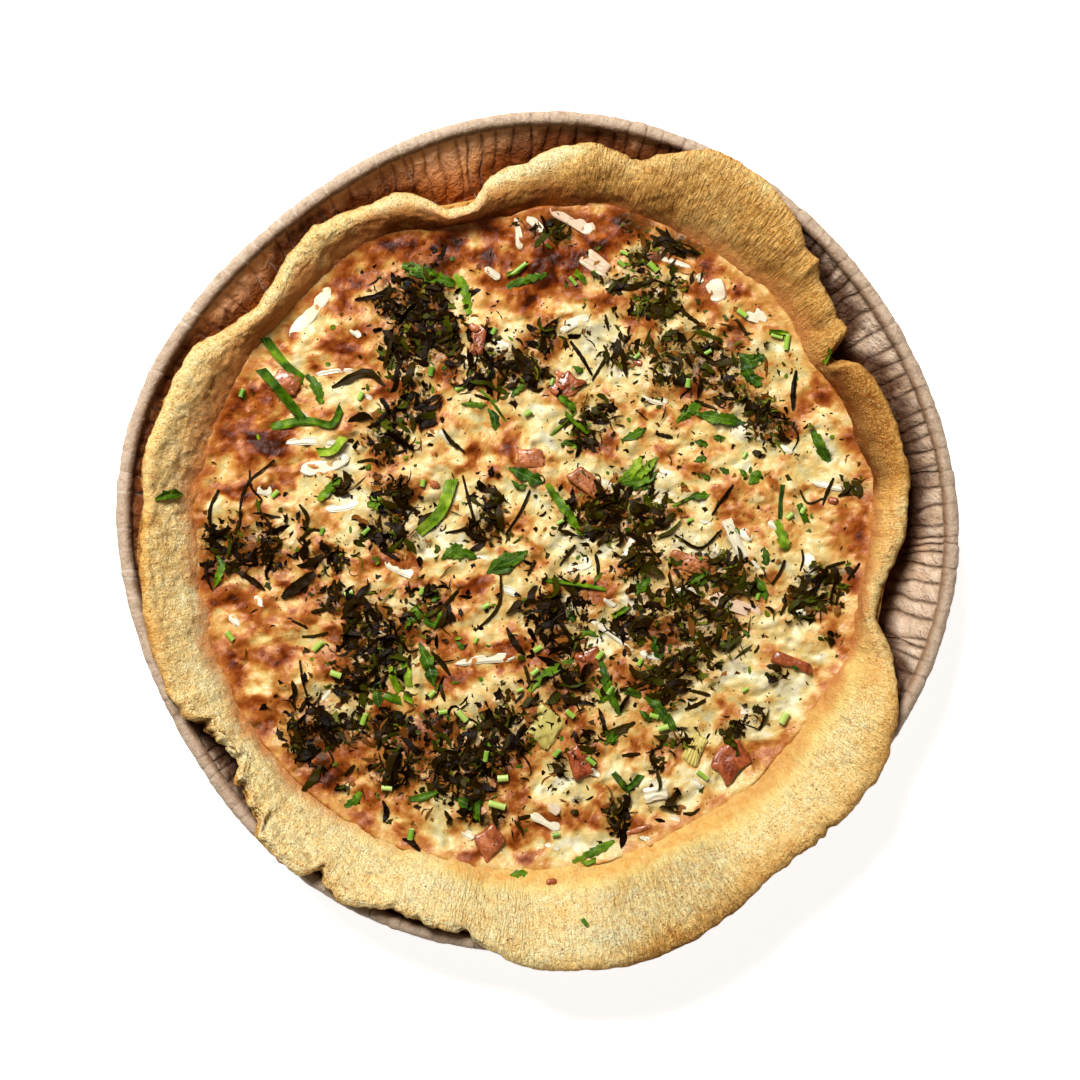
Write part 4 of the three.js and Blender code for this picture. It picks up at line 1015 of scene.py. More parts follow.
def build_filling(n=280):
    ux, uy = disc_grid(n)
    rr = np.hypot(ux, uy)
    th = np.degrees(np.arctan2(uy, ux))
    reach = foot_r(th) + 1.4
    x, y = ux * reach, uy * reach
    z, heat, pit, to_edge, tops = fill_fields(x, y)
    green = spots(x, y, [(a, b, c * 1.15, d * 1.15, 0.9) for a, b, c, d in MATS], seed=3)
    m = n + 1
    idx = np.arange(m * m).reshape(m, m)
    quads = np.stack([idx[:-1, :-1], idx[:-1, 1:], idx[1:, 1:], idx[1:, :-1]], -1).reshape(-1, 4)
    ring = np.concatenate([idx[0, :-1], idx[:-1, -1], idx[-1, ::-1][:-1], idx[::-1, 0][:-1]])
    k = len(ring)
    rim_xy = np.stack([x.ravel()[ring], y.ravel()[ring]], -1)
    rim_n = rim_xy / np.linalg.norm(rim_xy, axis=-1, keepdims=True)
    r0 = np.linalg.norm(rim_xy, axis=-1)
    low1 = np.concatenate([rim_n * (r0 - 3.0)[:, None], np.full((k, 1), 15.5)], -1)
    low2 = np.concatenate([rim_n * np.minimum(r0 - 9.0, 95)[:, None], np.full((k, 1), 6.0)], -1)
    top = np.stack([x.ravel(), y.ravel(), z.ravel()], -1)
    base = m * m
    verts = np.concatenate([top, low1, low2, [[0, 0, 6.0]]])
    j = np.arange(k)
    j2 = (j + 1) % k
    s1 = np.stack([ring[j2], ring[j], base + j, base + j2], -1)
    s2 = np.stack([base + j2, base + j, base + k + j, base + k + j2], -1)
    cap = np.stack([base + k + j2, base + k + j, np.full(k, base + 2 * k)], -1)
    pad = lambda a: np.concatenate([a.ravel(), np.zeros(2 * k + 1)])  # noqa: E731
    attrs = {"baked": pad(heat), "green": pad(green), "pit": pad(pit), "tops": pad(tops)}
    ob = make_mesh("egg_custard", verts, [quads, np.concatenate([s1, s2]), cap], True, attrs, filling_material())
    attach(ob, "root")
    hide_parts("egg_filling")
    return ob


CUSTARD = build_filling()


# ------------------------------------------------------------------ ham, onion and leek pieces
BLOCKS = [
    ("ham_dice_1", 59.8, -70.8, 12, 9.4, 45, .8), ("ham_dice_2", -15.7, -95.7, 8.4, 8, 42, .9),
    ("ham_dice_3", 12.3, -70.5, 11.5, 6.4, -65, 1.0), ("ham_dice_4", 16, 16, 13.2, 5.2, -43, 1.5),
    ("ham_dice_5", 15.4, -38.7, 7.6, 6.6, 20, .9), ("ham_dice_6", 79.6, -39.6, 12, 3.4, -20, .7),
    ("ham_dice_7", -3.1, 24.5, 9, 6, 5, .8), ("ham_dice_8", 8.2, 47.8, 9.4, 7, 40, .8),
    ("ham_dice_9", -19.5, 62, 10, 5, 80, 1.2), ("ham_dice_10", -79.9, 48.5, 8.8, 7, -20, .8),
    ("ham_dice_11", 47.8, -8.2, 12, 6.4, -10, .9),
    ("onion_piece_1", 36.2, -79.9, 8.2, 7, 10, .7), ("onion_piece_2", 61.4, -.9, 13, 3.6, -66, .6),
    ("onion_piece_3", 17.9, 85.6, 9.6, 5.4, -35, .8),
    ("leek_piece_1", 48.8, -66.7, 9.6, 5.6, 64, .7), ("leek_piece_2", 1.2, -60, 12, 9, 60, .5),
]


def unit_box(n):
    """Points and quads of a cube's surface with n cells along each edge, corners shared."""
    g = np.linspace(-1, 1, n + 1)
    pts, quads, seen = [], [], {}

    def vid(p):
        key = tuple(np.round(p, 6))
        if key not in seen:
            seen[key] = len(pts)
            pts.append(p)
        return seen[key]

    for axis in range(3):
        for sign in (-1, 1):
            ids = np.zeros((n + 1, n + 1), int)
            for i, a in enumerate(g):
                for j, b in enumerate(g):
                    p = [0.0, 0.0, 0.0]
                    p[axis], p[(axis + 1) % 3], p[(axis + 2) % 3] = sign, a, b
                    ids[i, j] = vid(p)
            q = np.stack([ids[:-1, :-1], ids[1:, :-1], ids[1:, 1:], ids[:-1, 1:]], -1).reshape(-1, 4)
            quads.append(q if sign > 0 else q[:, ::-1])
    return np.array(pts), np.concatenate(quads)


def soft_box(unit, half, rad):
    p = unit * half
    core = np.clip(p, -(half - rad), half - rad)
    d = p - core
    ln = np.linalg.norm(d, axis=-1, keepdims=True)
    return core + d / np.maximum(ln, 1e-9) * rad


class Heap:
    """Collects the meshes of many small things of one kind."""

    def __init__(self):
        self.v, self.f3, self.f4, self.a, self.n = [], [], [], {}, 0

    def add(self, verts, quads=None, tris=None, **attrs):
        verts = np.asarray(verts, float)
        k = len(verts)
        self.v.append(verts)
        if quads is not None and len(quads):
            self.f4.append(np.asarray(quads) + self.n)
        if tris is not None and len(tris):
            self.f3.append(np.asarray(tris) + self.n)
        for key, val in attrs.items():
            self.a.setdefault(key, []).append(np.broadcast_to(np.asarray(val, float), (k,)))
        self.n += k

    def build(self, name, material, slot, replaces=(), smooth_shade=True, crisp=None):
        faces = [np.concatenate(f) for f in (self.f4, self.f3) if f]
        ob = make_mesh(name, np.concatenate(self.v), faces, smooth_shade,
                       {k: np.concatenate(v) for k, v in self.a.items()}, material, crisp)
        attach(ob, "root")
        if replaces:
            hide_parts(*replaces)
        return ob


def ham_material():
    m = Nodes("diced_ham")
    tone, top = m.attr("tone"), m.attr("top")
    co = m.coord()
    n1 = m.noise(co, 3.4, 4, 0.6, 0.8)
    n2 = m.noise(co, 0.9, 3, 0.6)
    red = m.mix(m.mapr(n1, 0.3, 0.7), lin(92, 22, 0), lin(190, 92, 44))
    tan = m.mix(m.mapr(n1, 0.3, 0.7), lin(124, 54, 8), lin(218, 142, 84))
    col = m.mix(tone, red, tan)
    col = m.mix(m.math("MULTIPLY", m.mapr(n1, 0.60, 0.72), 0.40), col, lin(214, 146, 110))
    col = m.mix(m.math("MULTIPLY", m.mapr(n2, 0.66, 0.76), 0.30), col, lin(236, 190, 160))
    col = m.mix(m.math("MULTIPLY", m.mapr(top, 0.35, 0.0), 0.6), col, lin(96, 32, 10))
    nrm = m.bump(m.math("ADD", m.math("MULTIPLY", n2, 0.5), m.math("MULTIPLY", n1, 1.2)), 0.6, 0.7)
    return m.done(col, m.mapr(n1, 0.3, 0.7, 0.16, 0.38), nrm, spec=0.45, coat=(0.30, 0.10), keep=0.71)


def onion_material():
    m = Nodes("cooked_onion")
    tone, rib, rim = m.attr("tone"), m.attr("rib"), m.attr("rim")
    co = m.coord()
    n1 = m.noise(co, 3.0, 3, 0.6)
    n2 = m.noise(co, 0.7, 3, 0.6)
    white = m.mix(n1, lin(250, 245, 224), lin(232, 220, 184))
    pink = m.mix(n1, lin(240, 214, 188), lin(220, 176, 144))
    col = m.mix(m.mapr(tone, 0.45, 0.75), white, pink)
    col = m.mix(m.math("MULTIPLY", m.mapr(rib, 0.2, 0.85), 0.28), col, lin(222, 204, 164))
    col = m.mix(m.math("MULTIPLY", m.mapr(m.math("ADD", rim, m.math("MULTIPLY", m.math("SUBTRACT", n1, 0.5), 0.8)), 0.45, 0.95), 0.5), col, lin(222, 170, 96))
    nrm = m.bump(m.math("ADD", m.math("MULTIPLY", rib, -0.7), m.math("MULTIPLY", n2, 0.4)), 0.5, 0.6)
    return m.done(col, 0.26, nrm, spec=0.38, sss=(0.30, (1.0, 0.85, 0.6), 2.0), keep=0.71)


def leek_material():
    m = Nodes("cooked_leek")
    tone, rib, rim = m.attr("tone"), m.attr("rib"), m.attr("rim")
    co = m.coord()
    n1 = m.noise(co, 3.0, 3, 0.6)
    a = m.mix(n1, lin(214, 190, 84), lin(236, 220, 140))
    b = m.mix(n1, lin(108, 112, 52), lin(150, 150, 84))
    col = m.mix(tone, a, b)
    col = m.mix(m.math("MULTIPLY", m.mapr(rib, 0.25, 0.8), 0.55), col, lin(160, 138, 44))
    nrm = m.bump(m.math("ADD", m.math("MULTIPLY", rib, -0.8), m.math("MULTIPLY", n1, 0.3)), 0.5, 0.7)
    return m.done(col, 0.34, nrm, spec=0.32, keep=0.71)


def build_blocks():
    box, quads = unit_box(14)
    heaps = {"ham": Heap(), "onion": Heap(), "leek": Heap()}
    rng = np.random.default_rng(40)
    tones = {"ham_dice_1": 0.12, "ham_dice_2": 0.35, "ham_dice_3": 0.0, "ham_dice_4": 0.75, "ham_dice_5": 0.3,
             "ham_dice_6": 0.15, "ham_dice_7": 0.6, "ham_dice_8": 0.25, "ham_dice_9": 0.3, "ham_dice_10": 0.45,
             "ham_dice_11": 0.85, "leek_piece_2": 0.35, "onion_piece_3": 0.7}
    for k, (name, bx, by, long, wide, turn, proud) in enumerate(BLOCKS):
        kind = name.split("_")[0]
        swell = sum(rise * math.exp(-((bx - sx) ** 2 + (by - sy) ** 2) / (2 * sp**2)) for sx, sy, sp, rise in SWELLS)
        z0 = FILL_Z + swell
        up = proud + 0.55
        half = np.array([long / 2, wide / 2, (4 + up) / 2])
        v = soft_box(box, half, 0.85)
        # uneven cut: a skewed outline, a crowned top and soft dents
        lean, taper = rng.uniform(-0.22, 0.22), rng.uniform(-0.16, 0.16)
        v[:, 0], v[:, 1] = v[:, 0] * (1 + taper * v[:, 1] / half[1]) + lean * v[:, 1], v[:, 1] * (1 + 0.8 * taper * v[:, 0] / half[0])
        s = 17 * k
        top = np.clip((v[:, 2] + half[2]) / (2 * half[2]), 0, 1)
        q = np.maximum(np.abs(v[:, 0]) / half[0], np.abs(v[:, 1]) / half[1])
        v[:, 2] += np.where(top > 0.6, 0.35 * (0.5 - q**2) + 0.28 * fbm2(v[:, 0] / 3.2 + s, v[:, 1] / 3.2, 3, 60 + k), 0)
        d = fbm3(v[:, 0] / 2.6 + s, v[:, 1] / 2.6, v[:, 2] / 2.6, 3, 80 + k)
        d2 = fbm3(v[:, 0] / 5.5 + s, v[:, 1] / 5.5, v[:, 2] / 9.0, 2, 95 + k)
        v = v * (1 + (0.05 * d + 0.16 * d2)[:, None] * np.array([1, 1, 0]))
        a = math.radians(turn)
        w = np.stack([bx + v[:, 0] * math.cos(a) - v[:, 1] * math.sin(a), by + v[:, 0] * math.sin(a) + v[:, 1] * math.cos(a),
                      z0 - 4 + half[2] + v[:, 2]], -1)
        ribs = 0.5 + 0.5 * np.sin(v[:, 1] / (0.62 if kind == "onion" else 0.7) * 2 * np.pi + 0.8 * fbm2(v[:, 0] / 5 + s, v[:, 1] * 0, 2, 3))
        if kind != "ham":
            w[:, 2] -= 0.16 * ribs * (top > 0.7)
        heaps[kind].add(w, quads, tone=tones.get(name, 0.2 if kind != "leek" else 0.0), top=top, rib=ribs * (top > 0.5), rim=smooth(0.72, 1.0, q))
    del rng
    return heaps


HEAPS = build_blocks()


# ------------------------------------------------------------------ where the surface is
def top_grid(step=0.5, half=135.0):
    """Height of the pastry, the filling and the pieces in it, on a regular grid of places."""
    from mathutils import Vector
    from mathutils.bvhtree import BVHTree

    bpy.context.view_layer.update()
    dg = bpy.context.evaluated_depsgraph_get()
    trees = [BVHTree.FromObject(o, dg) for o in (PASTRY, CUSTARD, HAM, ONION_A, LEEK_A)]
    n = int(2 * half / step) + 1
    g = np.linspace(-half, half, n)
    out = np.zeros((n, n))
    down = Vector((0, 0, -1))
    for j, yy in enumerate(g):
        for i, xx in enumerate(g):
            r2 = xx * xx + yy * yy
            if r2 > 134.0**2:
                continue
            best = 0.0
            src = Vector((xx * MM, yy * MM, 0.06))
            for k, t in enumerate(trees):
                if k == 0 and r2 < 92.0**2:
                    continue
                hit = t.ray_cast(src, down)
                if hit[0] is not None and hit[0].z > best:
                    best = hit[0].z
            out[j, i] = best * 1000
    return g, out


def surf(x, y):
    """Height of the top surface at places x, y, in mm."""
    fx = (np.asarray(x, float) - GX[0]) / (GX[1] - GX[0])
    fy = (np.asarray(y, float) - GX[0]) / (GX[1] - GX[0])
    fx, fy = np.clip(fx, 0, len(GX) - 1.001), np.clip(fy, 0, len(GX) - 1.001)
    i, j = fx.astype(int), fy.astype(int)
    u, v = fx - i, fy - j
    return (GZ[j, i] * (1 - u) * (1 - v) + GZ[j, i + 1] * u * (1 - v) + GZ[j + 1, i] * (1 - u) * v + GZ[j + 1, i + 1] * u * v)


# ------------------------------------------------------------------ small shapes
def resample(pts, n):
    """n points at even distances along a smooth line through pts."""
    pts = np.asarray(pts, float)
    if len(pts) > 2:
        k = len(pts)
        ext = np.concatenate([[2 * pts[0] - pts[1]], pts, [2 * pts[-1] - pts[-2]]])
        fine = []
        for s in range(k - 1):
            p0, p1, p2, p3 = ext[s : s + 4]
            for t in np.linspace(0, 1, 12, endpoint=False):
                fine.append(0.5 * (2 * p1 + (p2 - p0) * t + (2 * p0 - 5 * p1 + 4 * p2 - p3) * t * t + (3 * p1 - p0 - 3 * p2 + p3) * t**3))
        fine.append(pts[-1])
        pts = np.array(fine)
    d = np.concatenate([[0], np.cumsum(np.linalg.norm(np.diff(pts, axis=0), axis=1))])
    t = np.linspace(0, d[-1], n)
    return np.stack([np.interp(t, d, pts[:, c]) for c in range(pts.shape[1])], -1), d[-1]


def frame_along(line):
    """Tangents and flat side directions of a line in the plane."""
    t = np.gradient(line[:, :2], axis=0)
    t /= np.maximum(np.linalg.norm(t, axis=1, keepdims=True), 1e-9)
    return t, np.stack([-t[:, 1], t[:, 0]], -1)


def ribbon(heap, line, width, lift, thick, rng, arch=0.0, twist=0.0, saw=0.0, sawn=6, cup=0.0, cols=4, droop=0.0, ends=(0.0, 0.0), fold=None, **attrs):
    """A thin closed sheet laid along a line (n, 2), following the surface below it. width is an array (n,)."""
    n = len(line)
    t, s = frame_along(line)
    u = np.linspace(0, 1, n)
    c = np.linspace(-1, 1, cols + 1)
    edge_l, edge_r_ = ((1 - saw * (((u * sawn + ph) % 1.0) ** 0.8) * rng.uniform(0.15, 1.5, sawn + 2)[np.floor(u * sawn + ph).astype(int)])
                       for ph in (0.13, 0.57))
    wl = (width / 2)[:, None] * c[None, :] * np.where(c[None, :] < 0, edge_l[:, None], edge_r_[:, None])
    px = line[:, None, 0] + s[:, None, 0] * wl
    py = line[:, None, 1] + s[:, None, 1] * wl
    oblique = wl * mix(ends[0], ends[1], u)[:, None]  # how the two ends are cut
    px, py = px + t[:, None, 0] * oblique, py + t[:, None, 1] * oblique
    if saw:  # teeth lean along the leaf
        px = px + t[:, None, 0] * np.abs(c)[None, :] * (width[:, None] * 0.22)
        py = py + t[:, None, 1] * np.abs(c)[None, :] * (width[:, None] * 0.22)
    base = surf(line[:, 0], line[:, 1])
    base = np.maximum(base, np.convolve(np.pad(base, 2, "edge"), np.ones(5) / 5, "valid"))
    zz = base[:, None] + lift + arch * np.sin(math.pi * u)[:, None] + cup * (c**2 if fold is None else np.abs(c - fold))[None, :] * (width / width.max())[:, None]
    tw = twist * (u - 0.4)[:, None] * wl
    zz = zz + tw
    fl = 0.22 * fbm2(u[:, None] * 5 + rng.uniform(0, 50), c[None, :] * 1.3 + rng.uniform(0, 50), 3, 7)
    zz = zz + fl * (0.4 + (width / 3)[:, None]) + droop * (np.abs(u - 0.5) * 2)[:, None] ** 2
    floor = surf(px, py) + 0.06
    zz = np.maximum(zz, floor)
    up = np.stack([px, py, zz + thick / 2], -1)
    dn = np.stack([px, py, zz - thick / 2], -1)
    m = cols + 1
    ids = np.arange(n * m).reshape(n, m)
    q = np.stack([ids[:-1, :-1], ids[1:, :-1], ids[1:, 1:], ids[:-1, 1:]], -1).reshape(-1, 4)
    off = n * m
    ring = np.concatenate([ids[0, :-1], ids[:-1, -1], ids[-1, ::-1][:-1], ids[::-1, 0][:-1]])
    nx = np.roll(ring, -1)
    side = np.stack([ring, nx, nx + off, ring + off], -1)
    verts = np.concatenate([up.reshape(-1, 3), dn.reshape(-1, 3)])
    rib = np.tile(np.abs(c), n)
    along = np.repeat(u, m)
    heap.add(verts, np.concatenate([q[:, ::-1], q + off, side]), rib=np.concatenate([rib, rib]), along=np.concatenate([along, along]), **attrs)


def tube(heap, line3, radius, sides=6, flat=1.0, **attrs):
    """A closed stalk along a line (n, 3); radius is an array (n,)."""
    n = len(line3)
    t = np.gradient(line3, axis=0)
    t /= np.maximum(np.linalg.norm(t, axis=1, keepdims=True), 1e-9)
    s = np.cross(t, [0, 0, 1.0])
    s /= np.maximum(np.linalg.norm(s, axis=1, keepdims=True), 1e-9)
    b = np.cross(s, t)
    a = np.arange(sides) / sides * 2 * np.pi
    v = (line3[:, None] + s[:, None] * (np.cos(a)[None, :, None] * radius[:, None, None])
         + b[:, None] * (np.sin(a)[None, :, None] * radius[:, None, None] * flat))
    verts = np.concatenate([v.reshape(-1, 3), line3[:1] - t[:1] * radius[0] * 0.4, line3[-1:] + t[-1:] * radius[-1] * 0.4])
    q = ring_faces(n, sides)
    j = np.arange(sides)
    k = (j + 1) % sides
    c1 = np.stack([k, j, np.full(sides, n * sides)], -1)
    c2 = np.stack([(n - 1) * sides + j, (n - 1) * sides + k, np.full(sides, n * sides + 1)], -1)
    heap.add(verts, q, np.concatenate([c1, c2]), **attrs)


def ring_tube(heap, centre, direction, length, outer, wall, squash, sides=16, **attrs):
    """A short hollow tube, such as a cut chive."""
    d = np.asarray(direction, float)
    d /= np.linalg.norm(d)
    s = np.cross(d, [0, 0, 1.0])
    if np.linalg.norm(s) < 0.1:
        s = np.cross(d, [1.0, 0, 0])
    s /= np.linalg.norm(s)
    b = np.cross(s, d)
    a = np.arange(sides) / sides * 2 * np.pi
    rings, tags = [], []
    inner = outer - wall
    for off, rad, tag in ((-0.5, inner, 1), (-0.5, outer, 0.6), (-0.44, outer * 1.03, 0.25), (-0.15, outer * 1.0, 0), (0.15, outer * 0.98, 0),
                          (0.44, outer * 1.02, 0.25), (0.5, outer, 0.6), (0.5, inner, 1), (0.3, inner * 0.96, 1), (-0.3, inner * 0.96, 1)):
        rings.append(centre + d * (off * length) + s * (np.cos(a) * rad)[:, None] + b * (np.sin(a) * rad * squash)[:, None])
        tags.append(np.full(sides, tag))
    v = np.concatenate(rings)
    k = len(rings)
    q = ring_faces(k, sides)
    j = np.arange(sides)
    j2 = (j + 1) % sides
    close = np.stack([(k - 1) * sides + j, (k - 1) * sides + j2, j2, j], -1)
    heap.add(v, np.concatenate([q, close]), cut=np.concatenate(tags), **attrs)


SHRED_RINGS = 4


def shreds(heap, x, y, z, yaw, pitch, length, width, thick, bend, roll, tone, rng):
    """Many small pointed shreds at once; all arguments are arrays (k,)."""
    k = len(x)
    u = np.array([0.0, 0.14, 0.42, 0.74, 1.0])
    w = np.array([0.0, 0.85, 1.0, 0.72, 0.0])
    c, s = np.cos(yaw), np.sin(yaw)
    jag = rng.uniform(0.7, 1.25, (k, 5, 2))
    verts = np.zeros((k, 14, 3))
    idx = 0
    for r in range(5):
        along = (u[r] - 0.5) * length
        lift = along * np.sin(pitch) + bend * length * (0.25 - (u[r] - 0.5) ** 2) * 1.6
        side_bend = 0.35 * bend * length * (u[r] - 0.5) ** 2 * 4 * rng.choice([-1, 1], k)
        ax = along * np.cos(pitch)
        if w[r] == 0:
            pts = [(0.0, 0.0)]
        else:
            hw, ht = width * w[r] / 2, thick * (0.6 + 0.4 * w[r]) / 2
            pts = [(hw * jag[:, r, 0], 0.0), (0.0, ht), (-hw * jag[:, r, 1], 0.0), (0.0, -ht)]
        for a, b in pts:
            la = a * np.cos(roll) - b * np.sin(roll) + side_bend * 0.5
            lb = a * np.sin(roll) + b * np.cos(roll)
            verts[:, idx, 0] = x + ax * c - la * s
            verts[:, idx, 1] = y + ax * s + la * c
            verts[:, idx, 2] = z + lift + lb
            idx += 1
    tri = []
    for j in range(4):
        j2 = (j + 1) % 4
        tri.append((0, 1 + j, 1 + j2))
        tri.append((13, 9 + j2, 9 + j))
    quad = []
    for r in range(2):
        a0, b0 = 1 + 4 * r, 5 + 4 * r
        for j in range(4):
            j2 = (j + 1) % 4
            quad.append((a0 + j, b0 + j, b0 + j2, a0 + j2))
    off = (np.arange(k) * 14)[:, None, None]
    T = (np.array(tri)[None] + off).reshape(-1, 3)
    Q = (np.array(quad)[None] + off).reshape(-1, 4)
    heap.add(verts.reshape(-1, 3), Q, T, tone=np.repeat(tone, 14))


def drape(x, y, z, gap):
    """Keep points just above the surface below them."""
    return np.maximum(z, surf(x, y) + gap)


def flakes(heap, x, y, lift, size, aspect, yaw, pitch, roll, fold, thick, tone, rng, m=9):
    """Torn flat pieces of leaf with jagged outlines, folded along the middle; all arguments are arrays (k,)."""
    k = len(x)
    a = (np.arange(m) + rng.uniform(-0.32, 0.32, (k, m))) / m * 2 * np.pi
    r = np.where(np.arange(m) % 2 == 0, 1.05, 0.66)[None, :] * rng.uniform(0.62, 1.2, (k, m))
    px = np.cos(a) * r * size[:, None] / 2
    py = np.sin(a) * r * (size * aspect)[:, None] / 2
    px, py = np.concatenate([np.zeros((k, 1)), px], 1), np.concatenate([np.zeros((k, 1)), py], 1)
    h = -np.abs(py) * fold[:, None] + 0.10 * size[:, None] * rng.uniform(-1, 1, (k, m + 1))
    cr, sr, cp, sp = np.cos(roll)[:, None], np.sin(roll)[:, None], np.cos(pitch)[:, None], np.sin(pitch)[:, None]
    py, h = py * cr - h * sr, py * sr + h * cr
    px, h = px * cp - h * sp, px * sp + h * cp
    c, s = np.cos(yaw)[:, None], np.sin(yaw)[:, None]
    wx, wy = x[:, None] + px * c - py * s, y[:, None] + px * s + py * c
    wz = drape(wx, wy, surf(x, y)[:, None] + lift[:, None] + h, 0.05)
    top = np.stack([wx, wy, wz + thick[:, None]], -1)
    low = np.stack([wx, wy, wz - 0.05], -1)
    verts = np.concatenate([top, low], 1)
    j = np.arange(m)
    j2 = (j + 1) % m
    b = m + 1
    tri = np.concatenate([np.stack([np.zeros(m, int), 1 + j, 1 + j2], -1), np.stack([np.full(m, b), b + 1 + j2, b + 1 + j], -1)])
    quad = np.stack([1 + j, b + 1 + j, b + 1 + j2, 1 + j2], -1)
    off = (np.arange(k) * 2 * b)[:, None, None]
    heap.add(verts.reshape(-1, 3), (quad[None] + off).reshape(-1, 4), (tri[None] + off).reshape(-1, 3), tone=np.repeat(tone, 2 * b))


def strands(heap, x, y, lift, yaw, length, width, thick, curve, wiggle, arch, roll, twist, tone, rng, rings=7):
    """Long thin flat shreds that curve, twist and lie on what is below them; all arguments are arrays (k,)."""
    k = len(x)
    u = np.linspace(0, 1, rings)
    w = np.array([0.0, 0.8, 1.0, 0.95, 0.85, 0.6, 0.0]) if rings == 7 else np.sin(math.pi * np.clip(u, 0.0, 1.0)) ** 0.5
    w[0] = w[-1] = 0.0
    ang = yaw[:, None] + curve[:, None] * (u - 0.5)[None] + wiggle[:, None] * np.sin(rng.uniform(0, 6.28, (k, 1)) + u[None] * 5.5)
    step = (length / (rings - 1))[:, None]
    cx, cy = np.cumsum(np.cos(ang) * step, 1), np.cumsum(np.sin(ang) * step, 1)
    cx, cy = x[:, None] + cx - cx.mean(1, keepdims=True), y[:, None] + cy - cy.mean(1, keepdims=True)
    z = surf(cx, cy)
    zs = np.pad(z, ((0, 0), (1, 1)), "edge")
    z = np.maximum(z, (zs[:, :-2] + zs[:, 1:-1] + zs[:, 2:]) / 3)
    z = z + lift[:, None] + arch[:, None] * length[:, None] * np.sin(math.pi * u)[None]
    ro = roll[:, None] + twist[:, None] * (u - 0.5)[None]
    jag = rng.uniform(0.72, 1.25, (k, rings))
    n = 2 + 4 * (rings - 2)
    verts = np.zeros((k, n, 3))
    idx = 0
    for r in range(rings):
        hw, ht = width * w[r] * jag[:, r] / 2, thick * (0.6 + 0.4 * w[r]) / 2
        pts = [(0.0, 0.0)] if w[r] == 0 else [(hw, 0.0), (0.0, ht), (-hw, 0.0), (0.0, -ht)]
        for a, b in pts:
            la = a * np.cos(ro[:, r]) - b * np.sin(ro[:, r])
            lb = a * np.sin(ro[:, r]) + b * np.cos(ro[:, r])
            vx, vy = cx[:, r] - la * np.sin(ang[:, r]), cy[:, r] + la * np.cos(ang[:, r])
            verts[:, idx] = np.stack([vx, vy, np.maximum(z[:, r] + lb, surf(vx, vy) + 0.03)], -1)
            idx += 1
    tri, quad = [], []
    last = n - 1
    for j in range(4):
        j2 = (j + 1) % 4
        tri.append((0, 1 + j, 1 + j2))
        tri.append((last, last - 4 + j2, last - 4 + j))
        for r in range(rings - 3):
            quad.append((1 + 4 * r + j, 5 + 4 * r + j, 5 + 4 * r + j2, 1 + 4 * r + j2))
    off = (np.arange(k) * n)[:, None, None]
    heap.add(verts.reshape(-1, 3), (np.array(quad)[None] + off).reshape(-1, 4), (np.array(tri)[None] + off).reshape(-1, 3),
             tone=np.repeat(tone, n))


# ------------------------------------------------------------------ looks of the herbs
def dark_herb_material():
    m = Nodes("baked_herb")
    tone = m.attr("tone")
    co = m.coord()
    n1 = m.noise(co, 1.3, 3, 0.6)
    # tones 0-1 run from black to green, 1.1-1.5 are the browned bits
    t = m.math("MULTIPLY", m.math("ADD", tone, m.math("MULTIPLY", m.math("SUBTRACT", n1, 0.5), 0.35)), 1 / 1.5)
    col = m.ramp(t, [
        (0.00, lin(10, 3, 0)), (0.147, lin(32, 17, 0)), (0.28, lin(50, 36, 0)), (0.387, lin(52, 52, 2)),
        (0.493, lin(70, 78, 6)), (0.587, lin(98, 104, 20)), (0.66, lin(126, 120, 38)),
        (0.72, lin(72, 36, 6)), (0.84, lin(116, 68, 20)), (1.00, lin(168, 108, 44)),
    ])
    nrm = m.bump(m.noise(co, 0.6, 2, 0.6), 0.3, 0.6)
    return m.done(col, m.mapr(n1, 0.35, 0.65, 0.28, 0.50), nrm, spec=0.045, keep=0.70)


def leaf_material():
    m = Nodes("fresh_leaf")
    tone, rib, along, leafy = m.attr("tone"), m.attr("rib"), m.attr("along"), m.attr("vein")
    co = m.coord()
    n1 = m.noise(co, 2.2, 3, 0.6)
    t = m.math("ADD", tone, m.math("MULTIPLY", m.math("SUBTRACT", n1, 0.5), 0.50))
    t = m.math("ADD", t, m.math("MULTIPLY", m.math("SUBTRACT", m.noise(co, 5.0, 2, 0.5), 0.5), 0.72))
    t = m.math("ADD", t, m.math("MULTIPLY", m.math("SUBTRACT", m.noise(co, 2.6, 3, 0.6, 0.4), 0.5), 0.42))
    col = m.ramp(t, [
        (0.00, lin(20, 38, 0)), (0.25, lin(42, 76, 0)), (0.45, lin(78, 116, 0)), (0.62, lin(116, 152, 10)),
        (0.80, lin(158, 186, 44)), (1.00, lin(206, 216, 108)),
    ])
    vein = m.math("MULTIPLY", m.math("MULTIPLY", m.mapr(rib, 0.14, 0.02), 0.35), leafy)
    col = m.mix(vein, col, lin(150, 184, 92))
    side = m.math("ADD", m.math("MULTIPLY", rib, 2.6), m.math("MULTIPLY", along, 9.0))
    veins = m.math("ABSOLUTE", m.math("SUBTRACT", m.math("FRACT", side), 0.5))
    h = m.math("ADD", m.math("MULTIPLY", m.mapr(veins, 0.0, 0.2), 0.5), m.math("MULTIPLY", n1, 0.6))
    nrm = m.bump(h, 0.35, 0.7)
    return m.done(col, m.mapr(n1, 0.3, 0.7, 0.34, 0.52), nrm, spec=0.18, keep=0.68)


